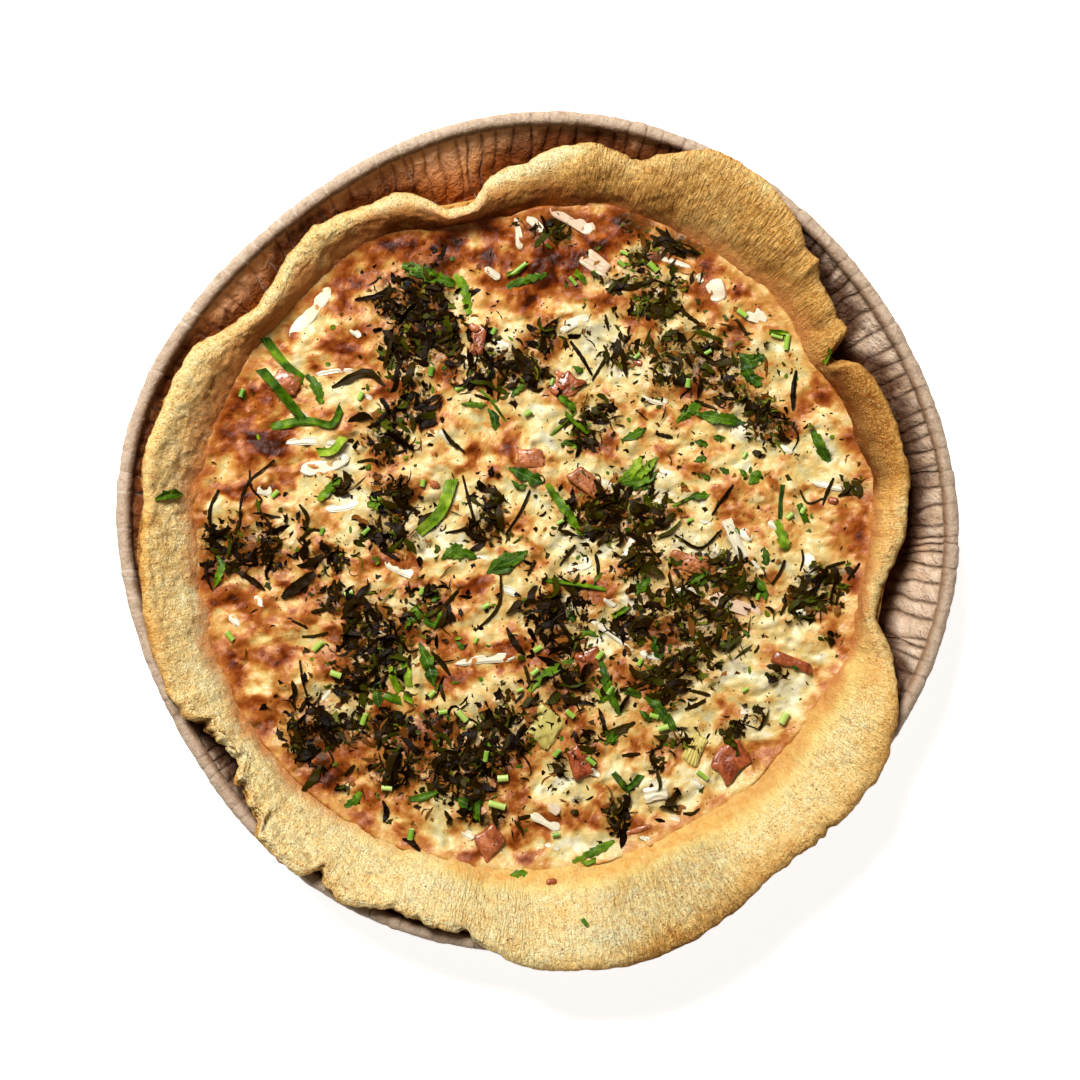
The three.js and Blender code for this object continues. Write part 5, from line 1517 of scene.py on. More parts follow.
def chive_material():
    m = Nodes("cut_chive")
    cut, tone = m.attr("cut"), m.attr("tone")
    co = m.coord()
    n1 = m.noise(co, 1.4, 3, 0.6)
    t = m.math("ADD", tone, m.math("MULTIPLY", m.math("SUBTRACT", n1, 0.5), 0.3))
    skin = m.ramp(t, [(0.0, lin(60, 104, 16)), (0.35, lin(100, 152, 36)), (0.65, lin(156, 194, 70)), (1.0, lin(212, 226, 136))])
    col = m.mix(m.mapr(cut, 0.2, 0.8), skin, lin(226, 232, 160))
    nrm = m.bump(n1, 0.2, 0.4)
    return m.done(col, 0.3, nrm, spec=0.34, keep=0.70)


def crumb_material():
    m = Nodes("crumb")
    tone = m.attr("tone")
    col = m.ramp(tone, [(0.0, lin(40, 22, 10)), (0.4, lin(110, 66, 28)), (0.7, lin(206, 158, 88)), (1.0, lin(240, 212, 150))])
    return m.done(col, m.mapr(m.noise(m.coord(), 0.5, 2, 0.6), 0.3, 0.7, 0.55, 0.8), None, spec=0.1, keep=0.85)


# ------------------------------------------------------------------ onion and leek strips half sunk in the filling
# line in 1080-frame pixels, width in pixels, tone (0 white, 1 pink-brown), how far it stands out (mm)
STRIPS = [
    ([(330, 288), (312, 312), (290, 337)], 15, .05, .9), ([(355, 370), (335, 371), (315, 375)], 6, .2, .4),
    ([(515, 218), (519, 234), (520, 250)], 8, .55, .8), ([(550, 209), (572, 219), (595, 232)], 14, .75, .6),
    ([(528, 216), (536, 224), (543, 232)], 11, .4, .5), ([(485, 268), (493, 274), (500, 279)], 9, .5, .5),
    ([(660, 259), (676, 263), (691, 269)], 7, .45, .6), ([(696, 276), (704, 281)], 9, .1, .7),
    ([(712, 280), (716, 290), (719, 302)], 20, .55, .9), ([(745, 312), (755, 314), (767, 321)], 15, .3, .6),
    ([(285, 443), (312, 441), (340, 444)], 9, .15, .4), ([(300, 470), (326, 466), (350, 456)], 14, .0, .5),
    ([(258, 488), (265, 491), (272, 492)], 12, .3, .5), ([(325, 509), (343, 507), (360, 502)], 9, .1, .5),
    ([(230, 615), (240, 626)], 8, .1, .5), ([(255, 596), (265, 606)], 8, .1, .4), ([(620, 561), (628, 550), (635, 536)], 9, .1, .8),
    ([(568, 571), (580, 566), (592, 559)], 13, .15, .7), ([(590, 620), (612, 634), (634, 651)], 9, .1, .8),
    ([(455, 664), (485, 659), (515, 657)], 9, .05, .7), ([(640, 652), (650, 656), (662, 658)], 10, .2, .6),
    ([(502, 588), (510, 591), (518, 594)], 9, .2, .5), ([(812, 482), (828, 485), (845, 489)], 10, .15, .7),
    ([(806, 553), (810, 565), (814, 576)], 14, .15, .7), ([(750, 562), (760, 568)], 8, .15, .6),
    ([(768, 522), (782, 529)], 10, .2, .6), ([(674, 588), (686, 590), (698, 593)], 12, .05, .8),
    ([(708, 597), (735, 604), (762, 614)], 20, .8, .7), ([(794, 616), (806, 612)], 10, .1, .8), ([(604, 598), (616, 606)], 9, .1, .6),
    ([(745, 706), (746, 715)], 11, .6, .7), ([(530, 815), (546, 821), (560, 830)], 11, .45, .8),
    ([(548, 805), (560, 812)], 10, .6, .6), ([(670, 818), (680, 822)], 8, .5, .5), ([(462, 832), (474, 838)], 8, .1, .5),
    ([(385, 562), (400, 570), (417, 576)], 10, .1, .4), ([(440, 430), (452, 444)], 7, .1, .5), ([(560, 330), (576, 322), (590, 318)], 11, .1, .5),
    ([(497, 340), (510, 347)], 10, .05, .5), ([(642, 395), (655, 400), (668, 402)], 9, .5, .5), ([(700, 520), (712, 526)], 8, .1, .5),
    ([(740, 530), (752, 540)], 9, .05, .5), ([(660, 470), (672, 474)], 8, .1, .5), ([(780, 445), (794, 452)], 8, .1, .5),
    ([(600, 480), (612, 486)], 8, .1, .4), ([(690, 780), (704, 786)], 9, .1, .5), ([(650, 840), (640, 836)], 6, .3, .4),
    ([(365, 395), (372, 400)], 8, .1, .5), ([(300, 412), (308, 420)], 7, .6, .5), ([(545, 845), (560, 850)], 8, .05, .4),
    ([(350, 330), (362, 336)], 7, .3, .4), ([(735, 545), (741, 556)], 7, .05, .7), ([(655, 500), (664, 506)], 8, .05, .6),
    ([(476, 555), (490, 560)], 7, .1, .4), ([(590, 770), (600, 776)], 7, .2, .4), ([(322, 700), (330, 690)], 6, .2, .4),
]


def build_strips(heap):
    rng = np.random.default_rng(71)
    for pts, wpx, tone, up in STRIPS:
        q = P([p[0] for p in pts], [p[1] for p in pts])
        line, length = resample(q, max(8, int(len(pts) * 7)))
        n = len(line)
        u = np.linspace(0, 1, n)
        w = wpx * 0.3148 / 2 * (np.clip(1 - np.abs(2 * u - 1) ** 12, 0, 1) * 0.25 + 0.75) * (1 + 0.10 * noise2(u * 2.2 + rng.uniform(0, 90), 0 * u, 5)) * mix(rng.uniform(0.6, 1.0), rng.uniform(0.6, 1.0), u) * 1.12 * (1 - 0.75 * np.abs(2 * u - 1) ** 7)
        t, s = frame_along(line)
        cols = 14
        a = np.arange(cols) / cols * 2 * np.pi
        base = surf(line[:, 0], line[:, 1])
        base = np.convolve(np.pad(np.maximum(base, base.mean() - 0.3), 3, "edge"), np.ones(7) / 7, "valid") - 0.05 - 0.10 * up
        k = np.linspace(0, 1, n)[:, None]
        rib = 0.5 + 0.5 * np.sin(np.cos(a)[None, :] * w[:, None] * 2 * np.pi / 0.95 + 0.6 * k)
        rad = 1 - 0.07 * rib * (np.sin(a)[None, :] > 0.1)
        flat = np.sign(np.cos(a)) * np.abs(np.cos(a)) ** 0.55
        x = line[:, 0:1] + s[:, 0:1] * flat[None, :] * w[:, None]
        y = line[:, 1:2] + s[:, 1:2] * flat[None, :] * w[:, None]
        hump = np.sign(np.sin(a)) * np.abs(np.sin(a)) ** 0.75
        tiltv = rng.uniform(-0.12, 0.12)
        z = base[:, None] + (up * 0.42 + 0.04) * hump[None, :] * rad * (0.8 + 0.2 * np.sin(math.pi * u)[:, None]) + tiltv * np.cos(a)[None, :] * w[:, None]
        z = z + 0.06 * fbm2(x / 1.6, y / 1.6, 2, 91)
        v = np.stack([x, y, z], -1)
        c0, c1 = v[0].mean(0), v[-1].mean(0)
        verts = np.concatenate([v.reshape(-1, 3), [c0, c1]])
        j = np.arange(cols)
        j2 = (j + 1) % cols
        caps = np.concatenate([np.stack([j2, j, np.full(cols, n * cols)], -1),
                               np.stack([(n - 1) * cols + j, (n - 1) * cols + j2, np.full(cols, n * cols + 1)], -1)])
        q4 = ring_faces(n, cols)
        ends = np.repeat(smooth(0.75, 1.0, np.abs(2 * u - 1)), cols)
        heap.add(verts, q4, caps, tone=tone, top=1.0, rib=np.concatenate([rib.ravel(), [0, 0]]),
                 rim=np.concatenate([np.clip(ends * 0.8 + 0.25 * tone + 0.55 * np.tile(np.abs(np.cos(a)) ** 3, n), 0, 1), [0.6, 0.6]]))


# ------------------------------------------------------------------ baked herbs
DARK = [  # lines of baked stalks and folded leaves: points, width in pixels
    ([(355, 300), (375, 297), (395, 288)], 5), ([(332, 388), (365, 372), (385, 385)], 8), ([(605, 290), (630, 287), (655, 280)], 6),
    ([(650, 240), (646, 250), (640, 260)], 6), ([(570, 342), (582, 358), (592, 375)], 4), ([(603, 345), (607, 355), (592, 380)], 3),
    ([(605, 315), (608, 330)], 3), ([(475, 395), (490, 400)], 3), ([(650, 235), (668, 246), (685, 258)], 6),
    ([(665, 240), (682, 246), (700, 255)], 6), ([(655, 228), (672, 240)], 5), ([(680, 310), (690, 318), (700, 325)], 4),
    ([(797, 370), (793, 390), (792, 410)], 6), ([(770, 400), (764, 409), (755, 415)], 6), ([(695, 400), (715, 408)], 4),
    ([(735, 320), (741, 327), (747, 335)], 4), ([(218, 490), (210, 512), (212, 540)], 3.5), ([(275, 460), (245, 490), (240, 535)], 3),
    ([(250, 470), (252, 488), (262, 500)], 2.5), ([(205, 565), (208, 578), (212, 590)], 3), ([(235, 570), (250, 578), (265, 590)], 6),
    ([(315, 572), (300, 584), (283, 598)], 12), ([(300, 505), (308, 517), (305, 530)], 4), ([(300, 540), (310, 530), (320, 530)], 4),
    ([(340, 555), (350, 565)], 4), ([(335, 580), (330, 600)], 4), ([(380, 550), (400, 560)], 4), ([(358, 462), (372, 460), (385, 465)], 3),
    ([(312, 612), (330, 608)], 4), ([(302, 637), (315, 636), (328, 632)], 3), ([(292, 620), (308, 628)], 3),
    ([(443, 428), (452, 441), (465, 452)], 5), ([(463, 475), (470, 505), (480, 540)], 3), ([(480, 520), (462, 530), (445, 533)], 3),
    ([(530, 490), (520, 512), (505, 535)], 3), ([(575, 545), (560, 565)], 3), ([(595, 555), (598, 565), (597, 575)], 4),
    ([(500, 575), (500, 600), (492, 615), (475, 630)], 3), ([(535, 560), (528, 575)], 3), ([(458, 590), (440, 610)], 4),
    ([(507, 628), (514, 643), (525, 655)], 7), ([(585, 580), (570, 600)], 4), ([(658, 434), (672, 437)], 4),
    ([(733, 485), (722, 500), (712, 515)], 3), ([(675, 535), (700, 548), (722, 530)], 3), ([(785, 560), (780, 572), (772, 585)], 3.5),
    ([(780, 615), (785, 604), (790, 595)], 3), ([(825, 575), (817, 586), (812, 600)], 4), ([(840, 590), (835, 605)], 3.5),
    ([(860, 563), (855, 571), (848, 580)], 3.5), ([(833, 478), (827, 492), (822, 505)], 3.5), ([(800, 490), (808, 503), (825, 498)], 2.5),
    ([(802, 550), (803, 560), (800, 570)], 3), ([(825, 568), (845, 562)], 3), ([(300, 660), (303, 680), (308, 700)], 2.5),
    ([(322, 765), (314, 778), (303, 790)], 9), ([(355, 765), (345, 775)], 4), ([(383, 800), (386, 811), (385, 822)], 6),
    ([(402, 838), (412, 842), (420, 850)], 6), ([(430, 650), (441, 662), (450, 675)], 5), ([(440, 685), (445, 700)], 4),
    ([(485, 700), (490, 720)], 5), ([(525, 665), (532, 690)], 4), ([(598, 708), (603, 721), (605, 735)], 5),
    ([(600, 735), (618, 730), (635, 722)], 8), ([(612, 800), (616, 815), (622, 830)], 7), ([(622, 755), (640, 753)], 4),
    ([(620, 690), (636, 686), (650, 680)], 4), ([(445, 810), (450, 818)], 5), ([(518, 818), (530, 816)], 4),
    ([(690, 690), (710, 695)], 4), ([(705, 700), (695, 705), (685, 710)], 4), ([(683, 813), (692, 813), (700, 808)], 3.5),
    ([(655, 819), (665, 821)], 3.5), ([(292, 712), (298, 738), (302, 752)], 5), ([(330, 712), (322, 730), (328, 745)], 6),
    ([(300, 712), (306, 700), (312, 696)], 4), ([(228, 545), (240, 558), (252, 560)], 5), ([(262, 535), (268, 548), (262, 562)], 4),
    ([(690, 600), (705, 612), (722, 618)], 5), ([(700, 640), (690, 655), (684, 668)], 5), ([(556, 600), (560, 620), (572, 640)], 6),
    ([(470, 740), (462, 756), (448, 770)], 6), ([(500, 715), (508, 735), (502, 752)], 5), ([(412, 285), (420, 305), (414, 322)], 6),
    ([(402, 330), (396, 350), (404, 372)], 6), ([(395, 480), (405, 498), (398, 516)], 5), ([(700, 350), (712, 362), (722, 360)], 5),
    ([(665, 352), (680, 360), (676, 372)], 5), ([(480, 358), (500, 366), (518, 362)], 6), ([(388, 440), (396, 452), (404, 450)], 4),
    ([(630, 615), (636, 628), (648, 636)], 4), ([(590, 505), (604, 515), (616, 512)], 6), ([(240, 520), (236, 533), (226, 540)], 4),
]


def build_dark():
    heap = Heap()
    rng = np.random.default_rng(9)
    # long stalks and folded leaves
    for pts, wpx in DARK:
        q = P([p[0] for p in pts], [p[1] for p in pts])
        q = q + rng.normal(0, 0.12, q.shape)
        w = wpx * 0.3148
        if w < 1.3:
            line, _ = resample(q, 12)
            z = surf(line[:, 0], line[:, 1])
            z = np.maximum(z, np.convolve(np.pad(z, 3, "edge"), np.ones(7) / 7, "valid")) + 0.22 + 0.35 * np.abs(noise2(np.linspace(0, 3, 12) + rng.uniform(0, 99), np.zeros(12), 4))
            u = np.linspace(0, 1, 12)
            rad = w / 2 * (0.55 + 0.45 * np.sin(math.pi * np.clip(u * 0.9 + 0.08, 0, 1))) * rng.uniform(0.85, 1.2, 12)
            tube(heap, np.column_stack([line, z]), rad, 6, 0.75, tone=rng.uniform(0.12, 0.42))
        else:
            line, length = resample(q, 14)
            u = np.linspace(0, 1, 14)
            width = w * np.clip(np.sin(math.pi * np.clip(0.06 + 0.9 * u, 0, 1)) ** 0.6, 0.15, 1) * rng.uniform(0.8, 1.15, 14)
            tmp = Heap()
            ribbon(tmp, line, width, 0.45, 0.26, rng, arch=0.25, twist=rng.uniform(-0.5, 0.5), saw=0.12, sawn=5, cup=rng.uniform(-0.3, 0.4))
            verts = np.concatenate(tmp.v)
            verts[:, 2] += 0.25 * fbm2(verts[:, 0] * 1.1, verts[:, 1] * 1.1, 2, 15)
            heap.add(verts, np.concatenate(tmp.f4), tone=rng.uniform(0.08, 0.5))
    # thick mats: torn leaf and long shreds, with holes where the filling shows
    def scatter(per, tail, seed):
        xs, ys, big = [], [], []
        for cx, cy, rx, ry in MATS:
            c = P(cx, cy)
            ax, ay = rx * 0.3148, ry * 0.3148
            k = int(3 + math.pi * ax * ay * per)
            r = np.sqrt(rng.random(k)) * (1 + tail * np.abs(rng.standard_normal(k)) * rng.random(k))
            a = rng.uniform(0, 2 * np.pi, k)
            xs.append(c[0] + r * np.cos(a) * ax)
            ys.append(c[1] + r * np.sin(a) * ay)
            big.append(np.full(k, min(1.0, 0.50 + max(ax, ay) / 10)))
        x, y, big = np.concatenate(xs), np.concatenate(ys), np.concatenate(big)
        hole = fbm2(x / 2.6 + 9, y / 2.6, 2, 412)
        thin = 1 - 0.26 * smooth(5, 45, y) * smooth(-40, 10, x)
        on = (rng.random(len(x)) < np.clip(0.80 + 1.2 * hole, 0.20, 1) * thin) & (np.hypot(x, y) < foot_r(np.degrees(np.arctan2(y, x))) - 1.5)
        return x[on], y[on], big[on]

    def shade(x, y, k):
        """More of the leaf has stayed green on the right."""
        green = smooth(-5, 50, x + 0.25 * y)
        tone = np.where(rng.random(k) < 0.14, rng.uniform(0.5, 0.95, k), rng.beta(1.2, 3.1, k) * 0.66)
        tone = np.clip(tone + green * rng.random(k) * 0.38 + 0.01, 0, 0.93)
        return np.where(rng.random(k) < 0.20 - 0.07 * green, rng.uniform(1.16, 1.46, k), tone)

    x, y, big = scatter(0.78, 1.2, 1)
    k = len(x)
    size = np.clip(rng.lognormal(0.80, 0.45, k), 0.9, 5.5) * big
    flakes(heap, x, y, rng.random(k) ** 2 * 1.1 * big, size, rng.uniform(0.35, 0.9, k), rng.uniform(0, 6.28, k), rng.normal(0, 0.20, k),
           rng.normal(0, 0.26, k), rng.normal(0.15, 0.35, k), rng.uniform(0.05, 0.13, k), shade(x, y, k), rng, 9)
    count = k
    # curled strips of leaf that stand up from the mats
    x, y, big = scatter(0.085, 0.9, 3)
    k = len(x)
    strands(heap, x, y, 0.3 + rng.random(k) * 0.9 * big, rng.uniform(0, 6.28, k), rng.uniform(4.0, 11.5, k) * big, rng.uniform(1.2, 2.7, k),
            np.full(k, 0.14), rng.normal(0, 1.7, k), rng.uniform(0, 0.5, k), rng.uniform(0.02, 0.10, k), rng.normal(0, 0.55, k),
            rng.normal(0, 1.5, k), np.minimum(shade(x, y, k) % 1.0, 0.62), rng)
    stalks = Heap()
    x, y, big = scatter(0.44, 1.9, 2)
    k = len(x)
    wide = rng.random(k) < 0.30
    length = np.clip(rng.lognormal(1.35, 0.45, k), 1.6, 10.5) * big
    strands(stalks, x, y, 0.12 + rng.random(k) ** 2 * 1.0 * big, rng.uniform(0, 6.28, k), length,
            np.where(wide, rng.uniform(1.1, 2.3, k), rng.uniform(0.35, 0.9, k)), np.where(wide, 0.12, rng.uniform(0.14, 0.34, k)),
            rng.normal(0, 1.5, k), rng.uniform(0, 0.35, k), rng.uniform(0.0, 0.07, k) * (rng.random(k) < 0.5), rng.normal(0, 0.45, k),
            rng.normal(0, 1.1, k), np.maximum(shade(x, y, k) - 0.05, 0), rng)
    print("herb stalks", k, stalks.n)
    # loose flakes, denser on the right and round the mats
    k = 6400
    a, r = rng.uniform(0, 2 * np.pi, k), np.sqrt(rng.random(k))
    x, y = np.cos(a) * r, np.sin(a) * r
    reach = foot_r(np.degrees(a)) - 2.0
    x, y = x * reach, y * reach
    near = spots(x, y, [(c0, c1, c2 * 2.0, c3 * 2.0, 0.8) for c0, c1, c2, c3 in MATS], seed=4)
    patch = 0.5 + 0.5 * fbm2(x / 11, y / 11, 3, 88)
    keep = 0.10 + 0.26 * smooth(-25, 50, x) + 0.55 * near + 0.22 * (patch - 0.5)
    keep = keep * (1 - 0.75 * smooth(25, 75, x - y * 0.8 - 25)) * (1 - 0.5 * smooth(-60, -95, x))
    on = rng.random(k) < keep
    x, y = x[on], y[on]
    k = len(x)
    small = rng.random(k)
    size = mix(0.5, 2.7, small**2.0)
    loose = Heap()
    tone = np.clip(rng.beta(1.6, 2.1, k) * 0.75 + smooth(-10, 60, x) * rng.random(k) * 0.35, 0.03, 0.93)
    tone = np.where(rng.random(k) < 0.25, rng.uniform(1.16, 1.46, k), tone)
    flakes(loose, x, y, rng.uniform(0, 0.12, k), size, rng.uniform(0.22, 0.85, k), rng.uniform(0, 6.28, k), rng.normal(0, 0.12, k),
           rng.normal(0, 0.2, k), rng.normal(0.1, 0.3, k), rng.uniform(0.05, 0.12, k), tone, rng, 7)
    print("herb flakes", count, "loose", k, heap.n, loose.n)
    return heap, stalks, loose


# ------------------------------------------------------------------ fresh leaves: line, width (px), tone (0 dark - 1 pale), kind
LEAVES = [
    ([(264, 338), (285, 362), (303, 378)], 10, .45, "strip"), ([(306, 374), (315, 388), (322, 403)], 11, .42, "saw"),
    ([(260, 370), (278, 390), (303, 418)], 9, .38, "strip"), ([(270, 427), (300, 421), (320, 423)], 8, .50, "strip"),
    ([(316, 423), (333, 424), (341, 408)], 8, .38, "strip"), ([(402, 265), (425, 275), (454, 283)], 14, .40, "saw"),
    ([(455, 274), (463, 290), (469, 314)], 11, .62, "saw"), ([(506, 287), (525, 281), (545, 275)], 10, .45, "saw"),
    ([(508, 276), (518, 270), (528, 263)], 4, .7, "strip"), ([(317, 452), (333, 450), (346, 437)], 8, .7, "strip"),
    ([(318, 500), (330, 490), (338, 480)], 10, .5, "saw"), ([(160, 502), (172, 497), (185, 493)], 11, .36, "leaf"),
    ([(371, 494), (377, 503), (384, 511)], 15, .52, "leaf"), ([(378, 510), (373, 505), (368, 503)], 8, .5, "leaf"),
    ([(417, 533), (440, 510), (453, 480)], 11, .62, "strip"), ([(509, 466), (525, 475), (544, 483)], 15, .28, "leaf"),
    ([(547, 484), (565, 508), (583, 535)], 10, .52, "saw"), ([(739, 353), (752, 360), (764, 356)], 17, .30, "leaf"),
    ([(740, 372), (752, 378), (762, 384)], 13, .28, "leaf"), ([(741, 356), (745, 368), (755, 382)], 14, .26, "leaf"),
    ([(676, 423), (690, 411), (702, 404)], 13, .42, "leaf"), ([(692, 412), (718, 416), (745, 422)], 14, .38, "leaf"),
    ([(618, 480), (632, 471), (640, 456)], 11, .66, "leaf"), ([(620, 481), (640, 474), (657, 458)], 11, .60, "leaf"),
    ([(622, 482), (642, 481), (657, 470)], 10, .45, "leaf"), ([(626, 484), (640, 487), (650, 488)], 8, .30, "leaf"),
    ([(812, 430), (820, 445), (828, 460)], 12, .36, "saw"), ([(556, 394), (566, 401), (576, 411)], 10, .38, "leaf"),
    ([(622, 441), (634, 434), (647, 428)], 10, .33, "leaf"), ([(688, 498), (698, 495), (709, 495)], 9, .42, "leaf"),
    ([(672, 507), (681, 503), (690, 498)], 4, .5, "strip"), ([(748, 485), (754, 480), (760, 470)], 13, .42, "leaf"),
    ([(782, 485), (782, 502), (780, 520)], 5, .28, "strip"), ([(776, 519), (781, 534), (786, 550)], 12, .60, "saw"),
    ([(800, 503), (803, 512), (807, 522)], 6, .4, "strip"), ([(441, 560), (455, 549), (462, 545)], 12, .44, "leaf"),
    ([(450, 560), (464, 553), (477, 558)], 12, .40, "leaf"), ([(485, 574), (500, 561), (515, 552)], 12, .42, "leaf"),
    ([(492, 566), (510, 562), (527, 551)], 12, .38, "leaf"), ([(490, 572), (502, 570), (515, 566)], 8, .30, "leaf"),
    ([(216, 556), (221, 570), (214, 588)], 9, .44, "leaf"), ([(404, 628), (414, 617), (425, 610)], 9, .45, "leaf"),
    ([(425, 612), (428, 622), (440, 628)], 8, .40, "leaf"), ([(408, 612), (418, 606), (428, 603)], 8, .42, "leaf"),
    ([(436, 606), (440, 616), (436, 630)], 7, .46, "leaf"), ([(418, 644), (428, 664), (434, 686)], 15, .30, "leaf"),
    ([(405, 660), (407, 672), (409, 686)], 9, .66, "strip"), ([(393, 667), (395, 679), (399, 690)], 7, .6, "strip"),
    ([(381, 679), (377, 692), (378, 706)], 12, .28, "leaf"), ([(385, 695), (393, 699), (401, 701)], 8, .52, "strip"),
    ([(404, 697), (412, 701)], 5, .6, "strip"), ([(344, 806), (352, 799), (360, 792)], 9, .42, "saw"),
    ([(408, 801), (422, 797), (437, 790)], 8, .42, "saw"), ([(454, 798), (464, 802), (476, 808)], 13, .30, "leaf"),
    ([(478, 800), (477, 810), (478, 821)], 6, .42, "strip"), ([(509, 874), (518, 873), (527, 874)], 9, .48, "leaf"),
    ([(572, 862), (590, 854), (616, 842)], 9, .46, "saw"), ([(580, 862), (590, 862), (596, 858)], 7, .5, "leaf"),
    ([(530, 691), (547, 674), (573, 660)], 9, .52, "saw"), ([(600, 660), (610, 690), (620, 716)], 10, .36, "saw"),
    ([(600, 690), (607, 701)], 9, .6, "strip"), ([(625, 690), (640, 695)], 6, .4, "strip"),
    ([(646, 693), (660, 712), (676, 731)], 12, .30, "saw"), ([(606, 728), (612, 738), (616, 746)], 10, .36, "leaf"),
    ([(604, 742), (612, 736), (622, 732)], 9, .34, "leaf"), ([(614, 772), (624, 786), (630, 790)], 7, .32, "strip"),
    ([(641, 774), (634, 783), (626, 789)], 7, .34, "strip"), ([(765, 547), (766, 556), (765, 566)], 10, .26, "leaf"),
    ([(755, 577), (762, 588), (766, 601)], 9, .42, "leaf"), ([(690, 584), (699, 578), (708, 572)], 10, .36, "leaf"),
    ([(695, 572), (700, 580), (703, 588)], 9, .38, "leaf"), ([(634, 596), (643, 587), (651, 577)], 11, .34, "leaf"),
    ([(655, 634), (657, 648), (661, 661)], 12, .30, "leaf"), ([(545, 581), (575, 585), (606, 588)], 5, .5, "strip"),
    ([(612, 616), (620, 612), (629, 607)], 5, .5, "strip"), ([(577, 641), (587, 632), (599, 637)], 7, .42, "leaf"),
    ([(567, 611), (571, 617), (574, 622)], 8, .35, "leaf"), ([(488, 408), (493, 418), (496, 431)], 11, .28, "leaf"),
    ([(510, 396), (518, 391), (526, 385)], 7, .4, "leaf"), ([(461, 402), (473, 404), (486, 405)], 7, .42, "leaf"),
    ([(573, 366), (578, 369), (583, 371)], 8, .35, "leaf"), ([(560, 442), (568, 443), (576, 445)], 6, .4, "leaf"),
    ([(577, 440), (580, 450)], 6, .4, "leaf"), ([(695, 440), (708, 445)], 7, .32, "leaf"), ([(713, 436), (722, 439)], 7, .4, "leaf"),
    ([(739, 469), (746, 476)], 6, .5, "leaf"), ([(720, 468), (729, 473)], 7, .25, "leaf"), ([(702, 474), (711, 477)], 6, .4, "leaf"),
    ([(695, 463), (706, 458)], 9, .35, "leaf"), ([(823, 363), (830, 351)], 4, .55, "strip"), ([(486, 742), (493, 749)], 6, .4, "leaf"),
    ([(564, 414), (572, 420), (590, 431)], 4, .45, "strip"), ([(575, 411), (562, 424), (551, 436)], 3, .55, "strip"),
    ([(478, 387), (492, 400), (505, 421)], 3, .55, "strip"), ([(782, 330), (776, 336), (768, 332)], 4, .55, "strip"),
    ([(788, 334), (788, 350)], 5, .62, "strip"), ([(770, 332), (789, 335)], 4, .6, "strip"),
    ([(240, 392), (245, 398)], 5, .5, "strip"), ([(316, 650), (324, 642)], 5, .6, "strip"), ([(574, 272), (586, 282)], 5, .5, "strip"),
    ([(512, 480), (520, 487), (528, 486)], 6, .3, "leaf"), ([(372, 462), (366, 470)], 5, .4, "leaf"),
    ([(640, 712), (650, 722)], 7, .34, "leaf"), ([(688, 618), (696, 624)], 6, .3, "leaf"), ([(742, 630), (750, 636)], 5, .3, "leaf"),
    ([(430, 602), (441, 596)], 6, .4, "leaf"), ([(455, 640), (463, 648)], 6, .35, "leaf"),
]


def build_leaves():
    heap = Heap()
    rng = np.random.default_rng(23)
    for pts, wpx, tone, kind in LEAVES:
        q = P([p[0] for p in pts], [p[1] for p in pts], 25)
        w = wpx * 0.3145
        q = q + rng.normal(0, 0.25, q.shape)
        length = float(np.linalg.norm(np.diff(q, axis=0), axis=1).sum())
        teeth = max(3, int(round(length / 2.6)))
        if kind == "strip":  # a cut strip of leaf with square ends
            n = 14
            line, length = resample(q, n)
            u = np.linspace(0, 1, n)
            width = w * mix(rng.uniform(0.62, 1.0), rng.uniform(0.62, 1.0), u) * (1 + 0.10 * loop_smooth(rng.normal(0, 1, n), 3)) * 1.25
            ribbon(heap, line, width, 0.35, 0.07, rng, arch=min(1.2, length * 0.07), twist=rng.uniform(-1.0, 1.0), cup=rng.choice([-0.9, 0.7]),
                   cols=4, ends=rng.uniform(-0.8, 0.8, 2), fold=rng.choice([-0.5, 0.0, 0.5]), tone=tone, vein=0.0)
        elif kind == "saw":  # a long piece with a toothed edge
            n = teeth * 6 + 1
            line, length = resample(q, n)
            u = np.linspace(0, 1, n)
            width = w * 1.12 * np.clip(np.sin(math.pi * np.clip(0.10 + 0.86 * u, 0, 1)) ** 0.5, 0.25, 1)
            ribbon(heap, line, width, 0.40, 0.07, rng, arch=min(0.8, length * 0.04), twist=rng.uniform(-0.4, 0.4), saw=0.42,
                   sawn=teeth, cup=rng.uniform(-0.5, 0.3), cols=4, tone=tone, vein=0.6)
        else:  # a leaflet with lobes and teeth
            teeth = max(3, int(round(length / 1.7)))
            n = teeth * 6 + 1
            line, length = resample(q, n)
            u = np.linspace(0, 1, n)
            lobe = 1 - 0.30 * np.abs(np.sin(math.pi * (u * 2.5 + 0.25)))
            width = w * 1.25 * np.clip(np.sin(math.pi * np.clip(0.05 + 0.93 * u, 0, 1)) ** 0.8, 0.12, 1) * lobe
            ribbon(heap, line, width, 0.40, 0.07, rng, arch=min(0.7, length * 0.05), twist=rng.uniform(-0.4, 0.4), saw=0.40,
                   sawn=teeth, cup=rng.uniform(-0.4, 0.7), cols=4, droop=-0.2, tone=tone, vein=1.0)
    # small green bits
    k = 120
    a, r = rng.uniform(0, 2 * np.pi, k), np.sqrt(rng.random(k)) * 99
    for i in range(k):
        x0, y0, yaw = math.cos(a[i]) * r[i], math.sin(a[i]) * r[i], rng.uniform(0, math.pi)
        if x0 < -40 and rng.random() < 0.5:
            continue
        ln, wd = rng.uniform(1.0, 2.6), rng.uniform(0.6, 1.3)
        q = np.array([[x0, y0], [x0 + ln * math.cos(yaw), y0 + ln * math.sin(yaw)]])
        line, _ = resample(q, 5)
        width = wd * np.array([0.4, 1.0, 1.0, 0.9, 0.35])
        ribbon(heap, line, width, 0.15, 0.07, rng, arch=0.1, cup=0.1, cols=2, tone=rng.uniform(0.25, 0.7), vein=0.0)
    return heap


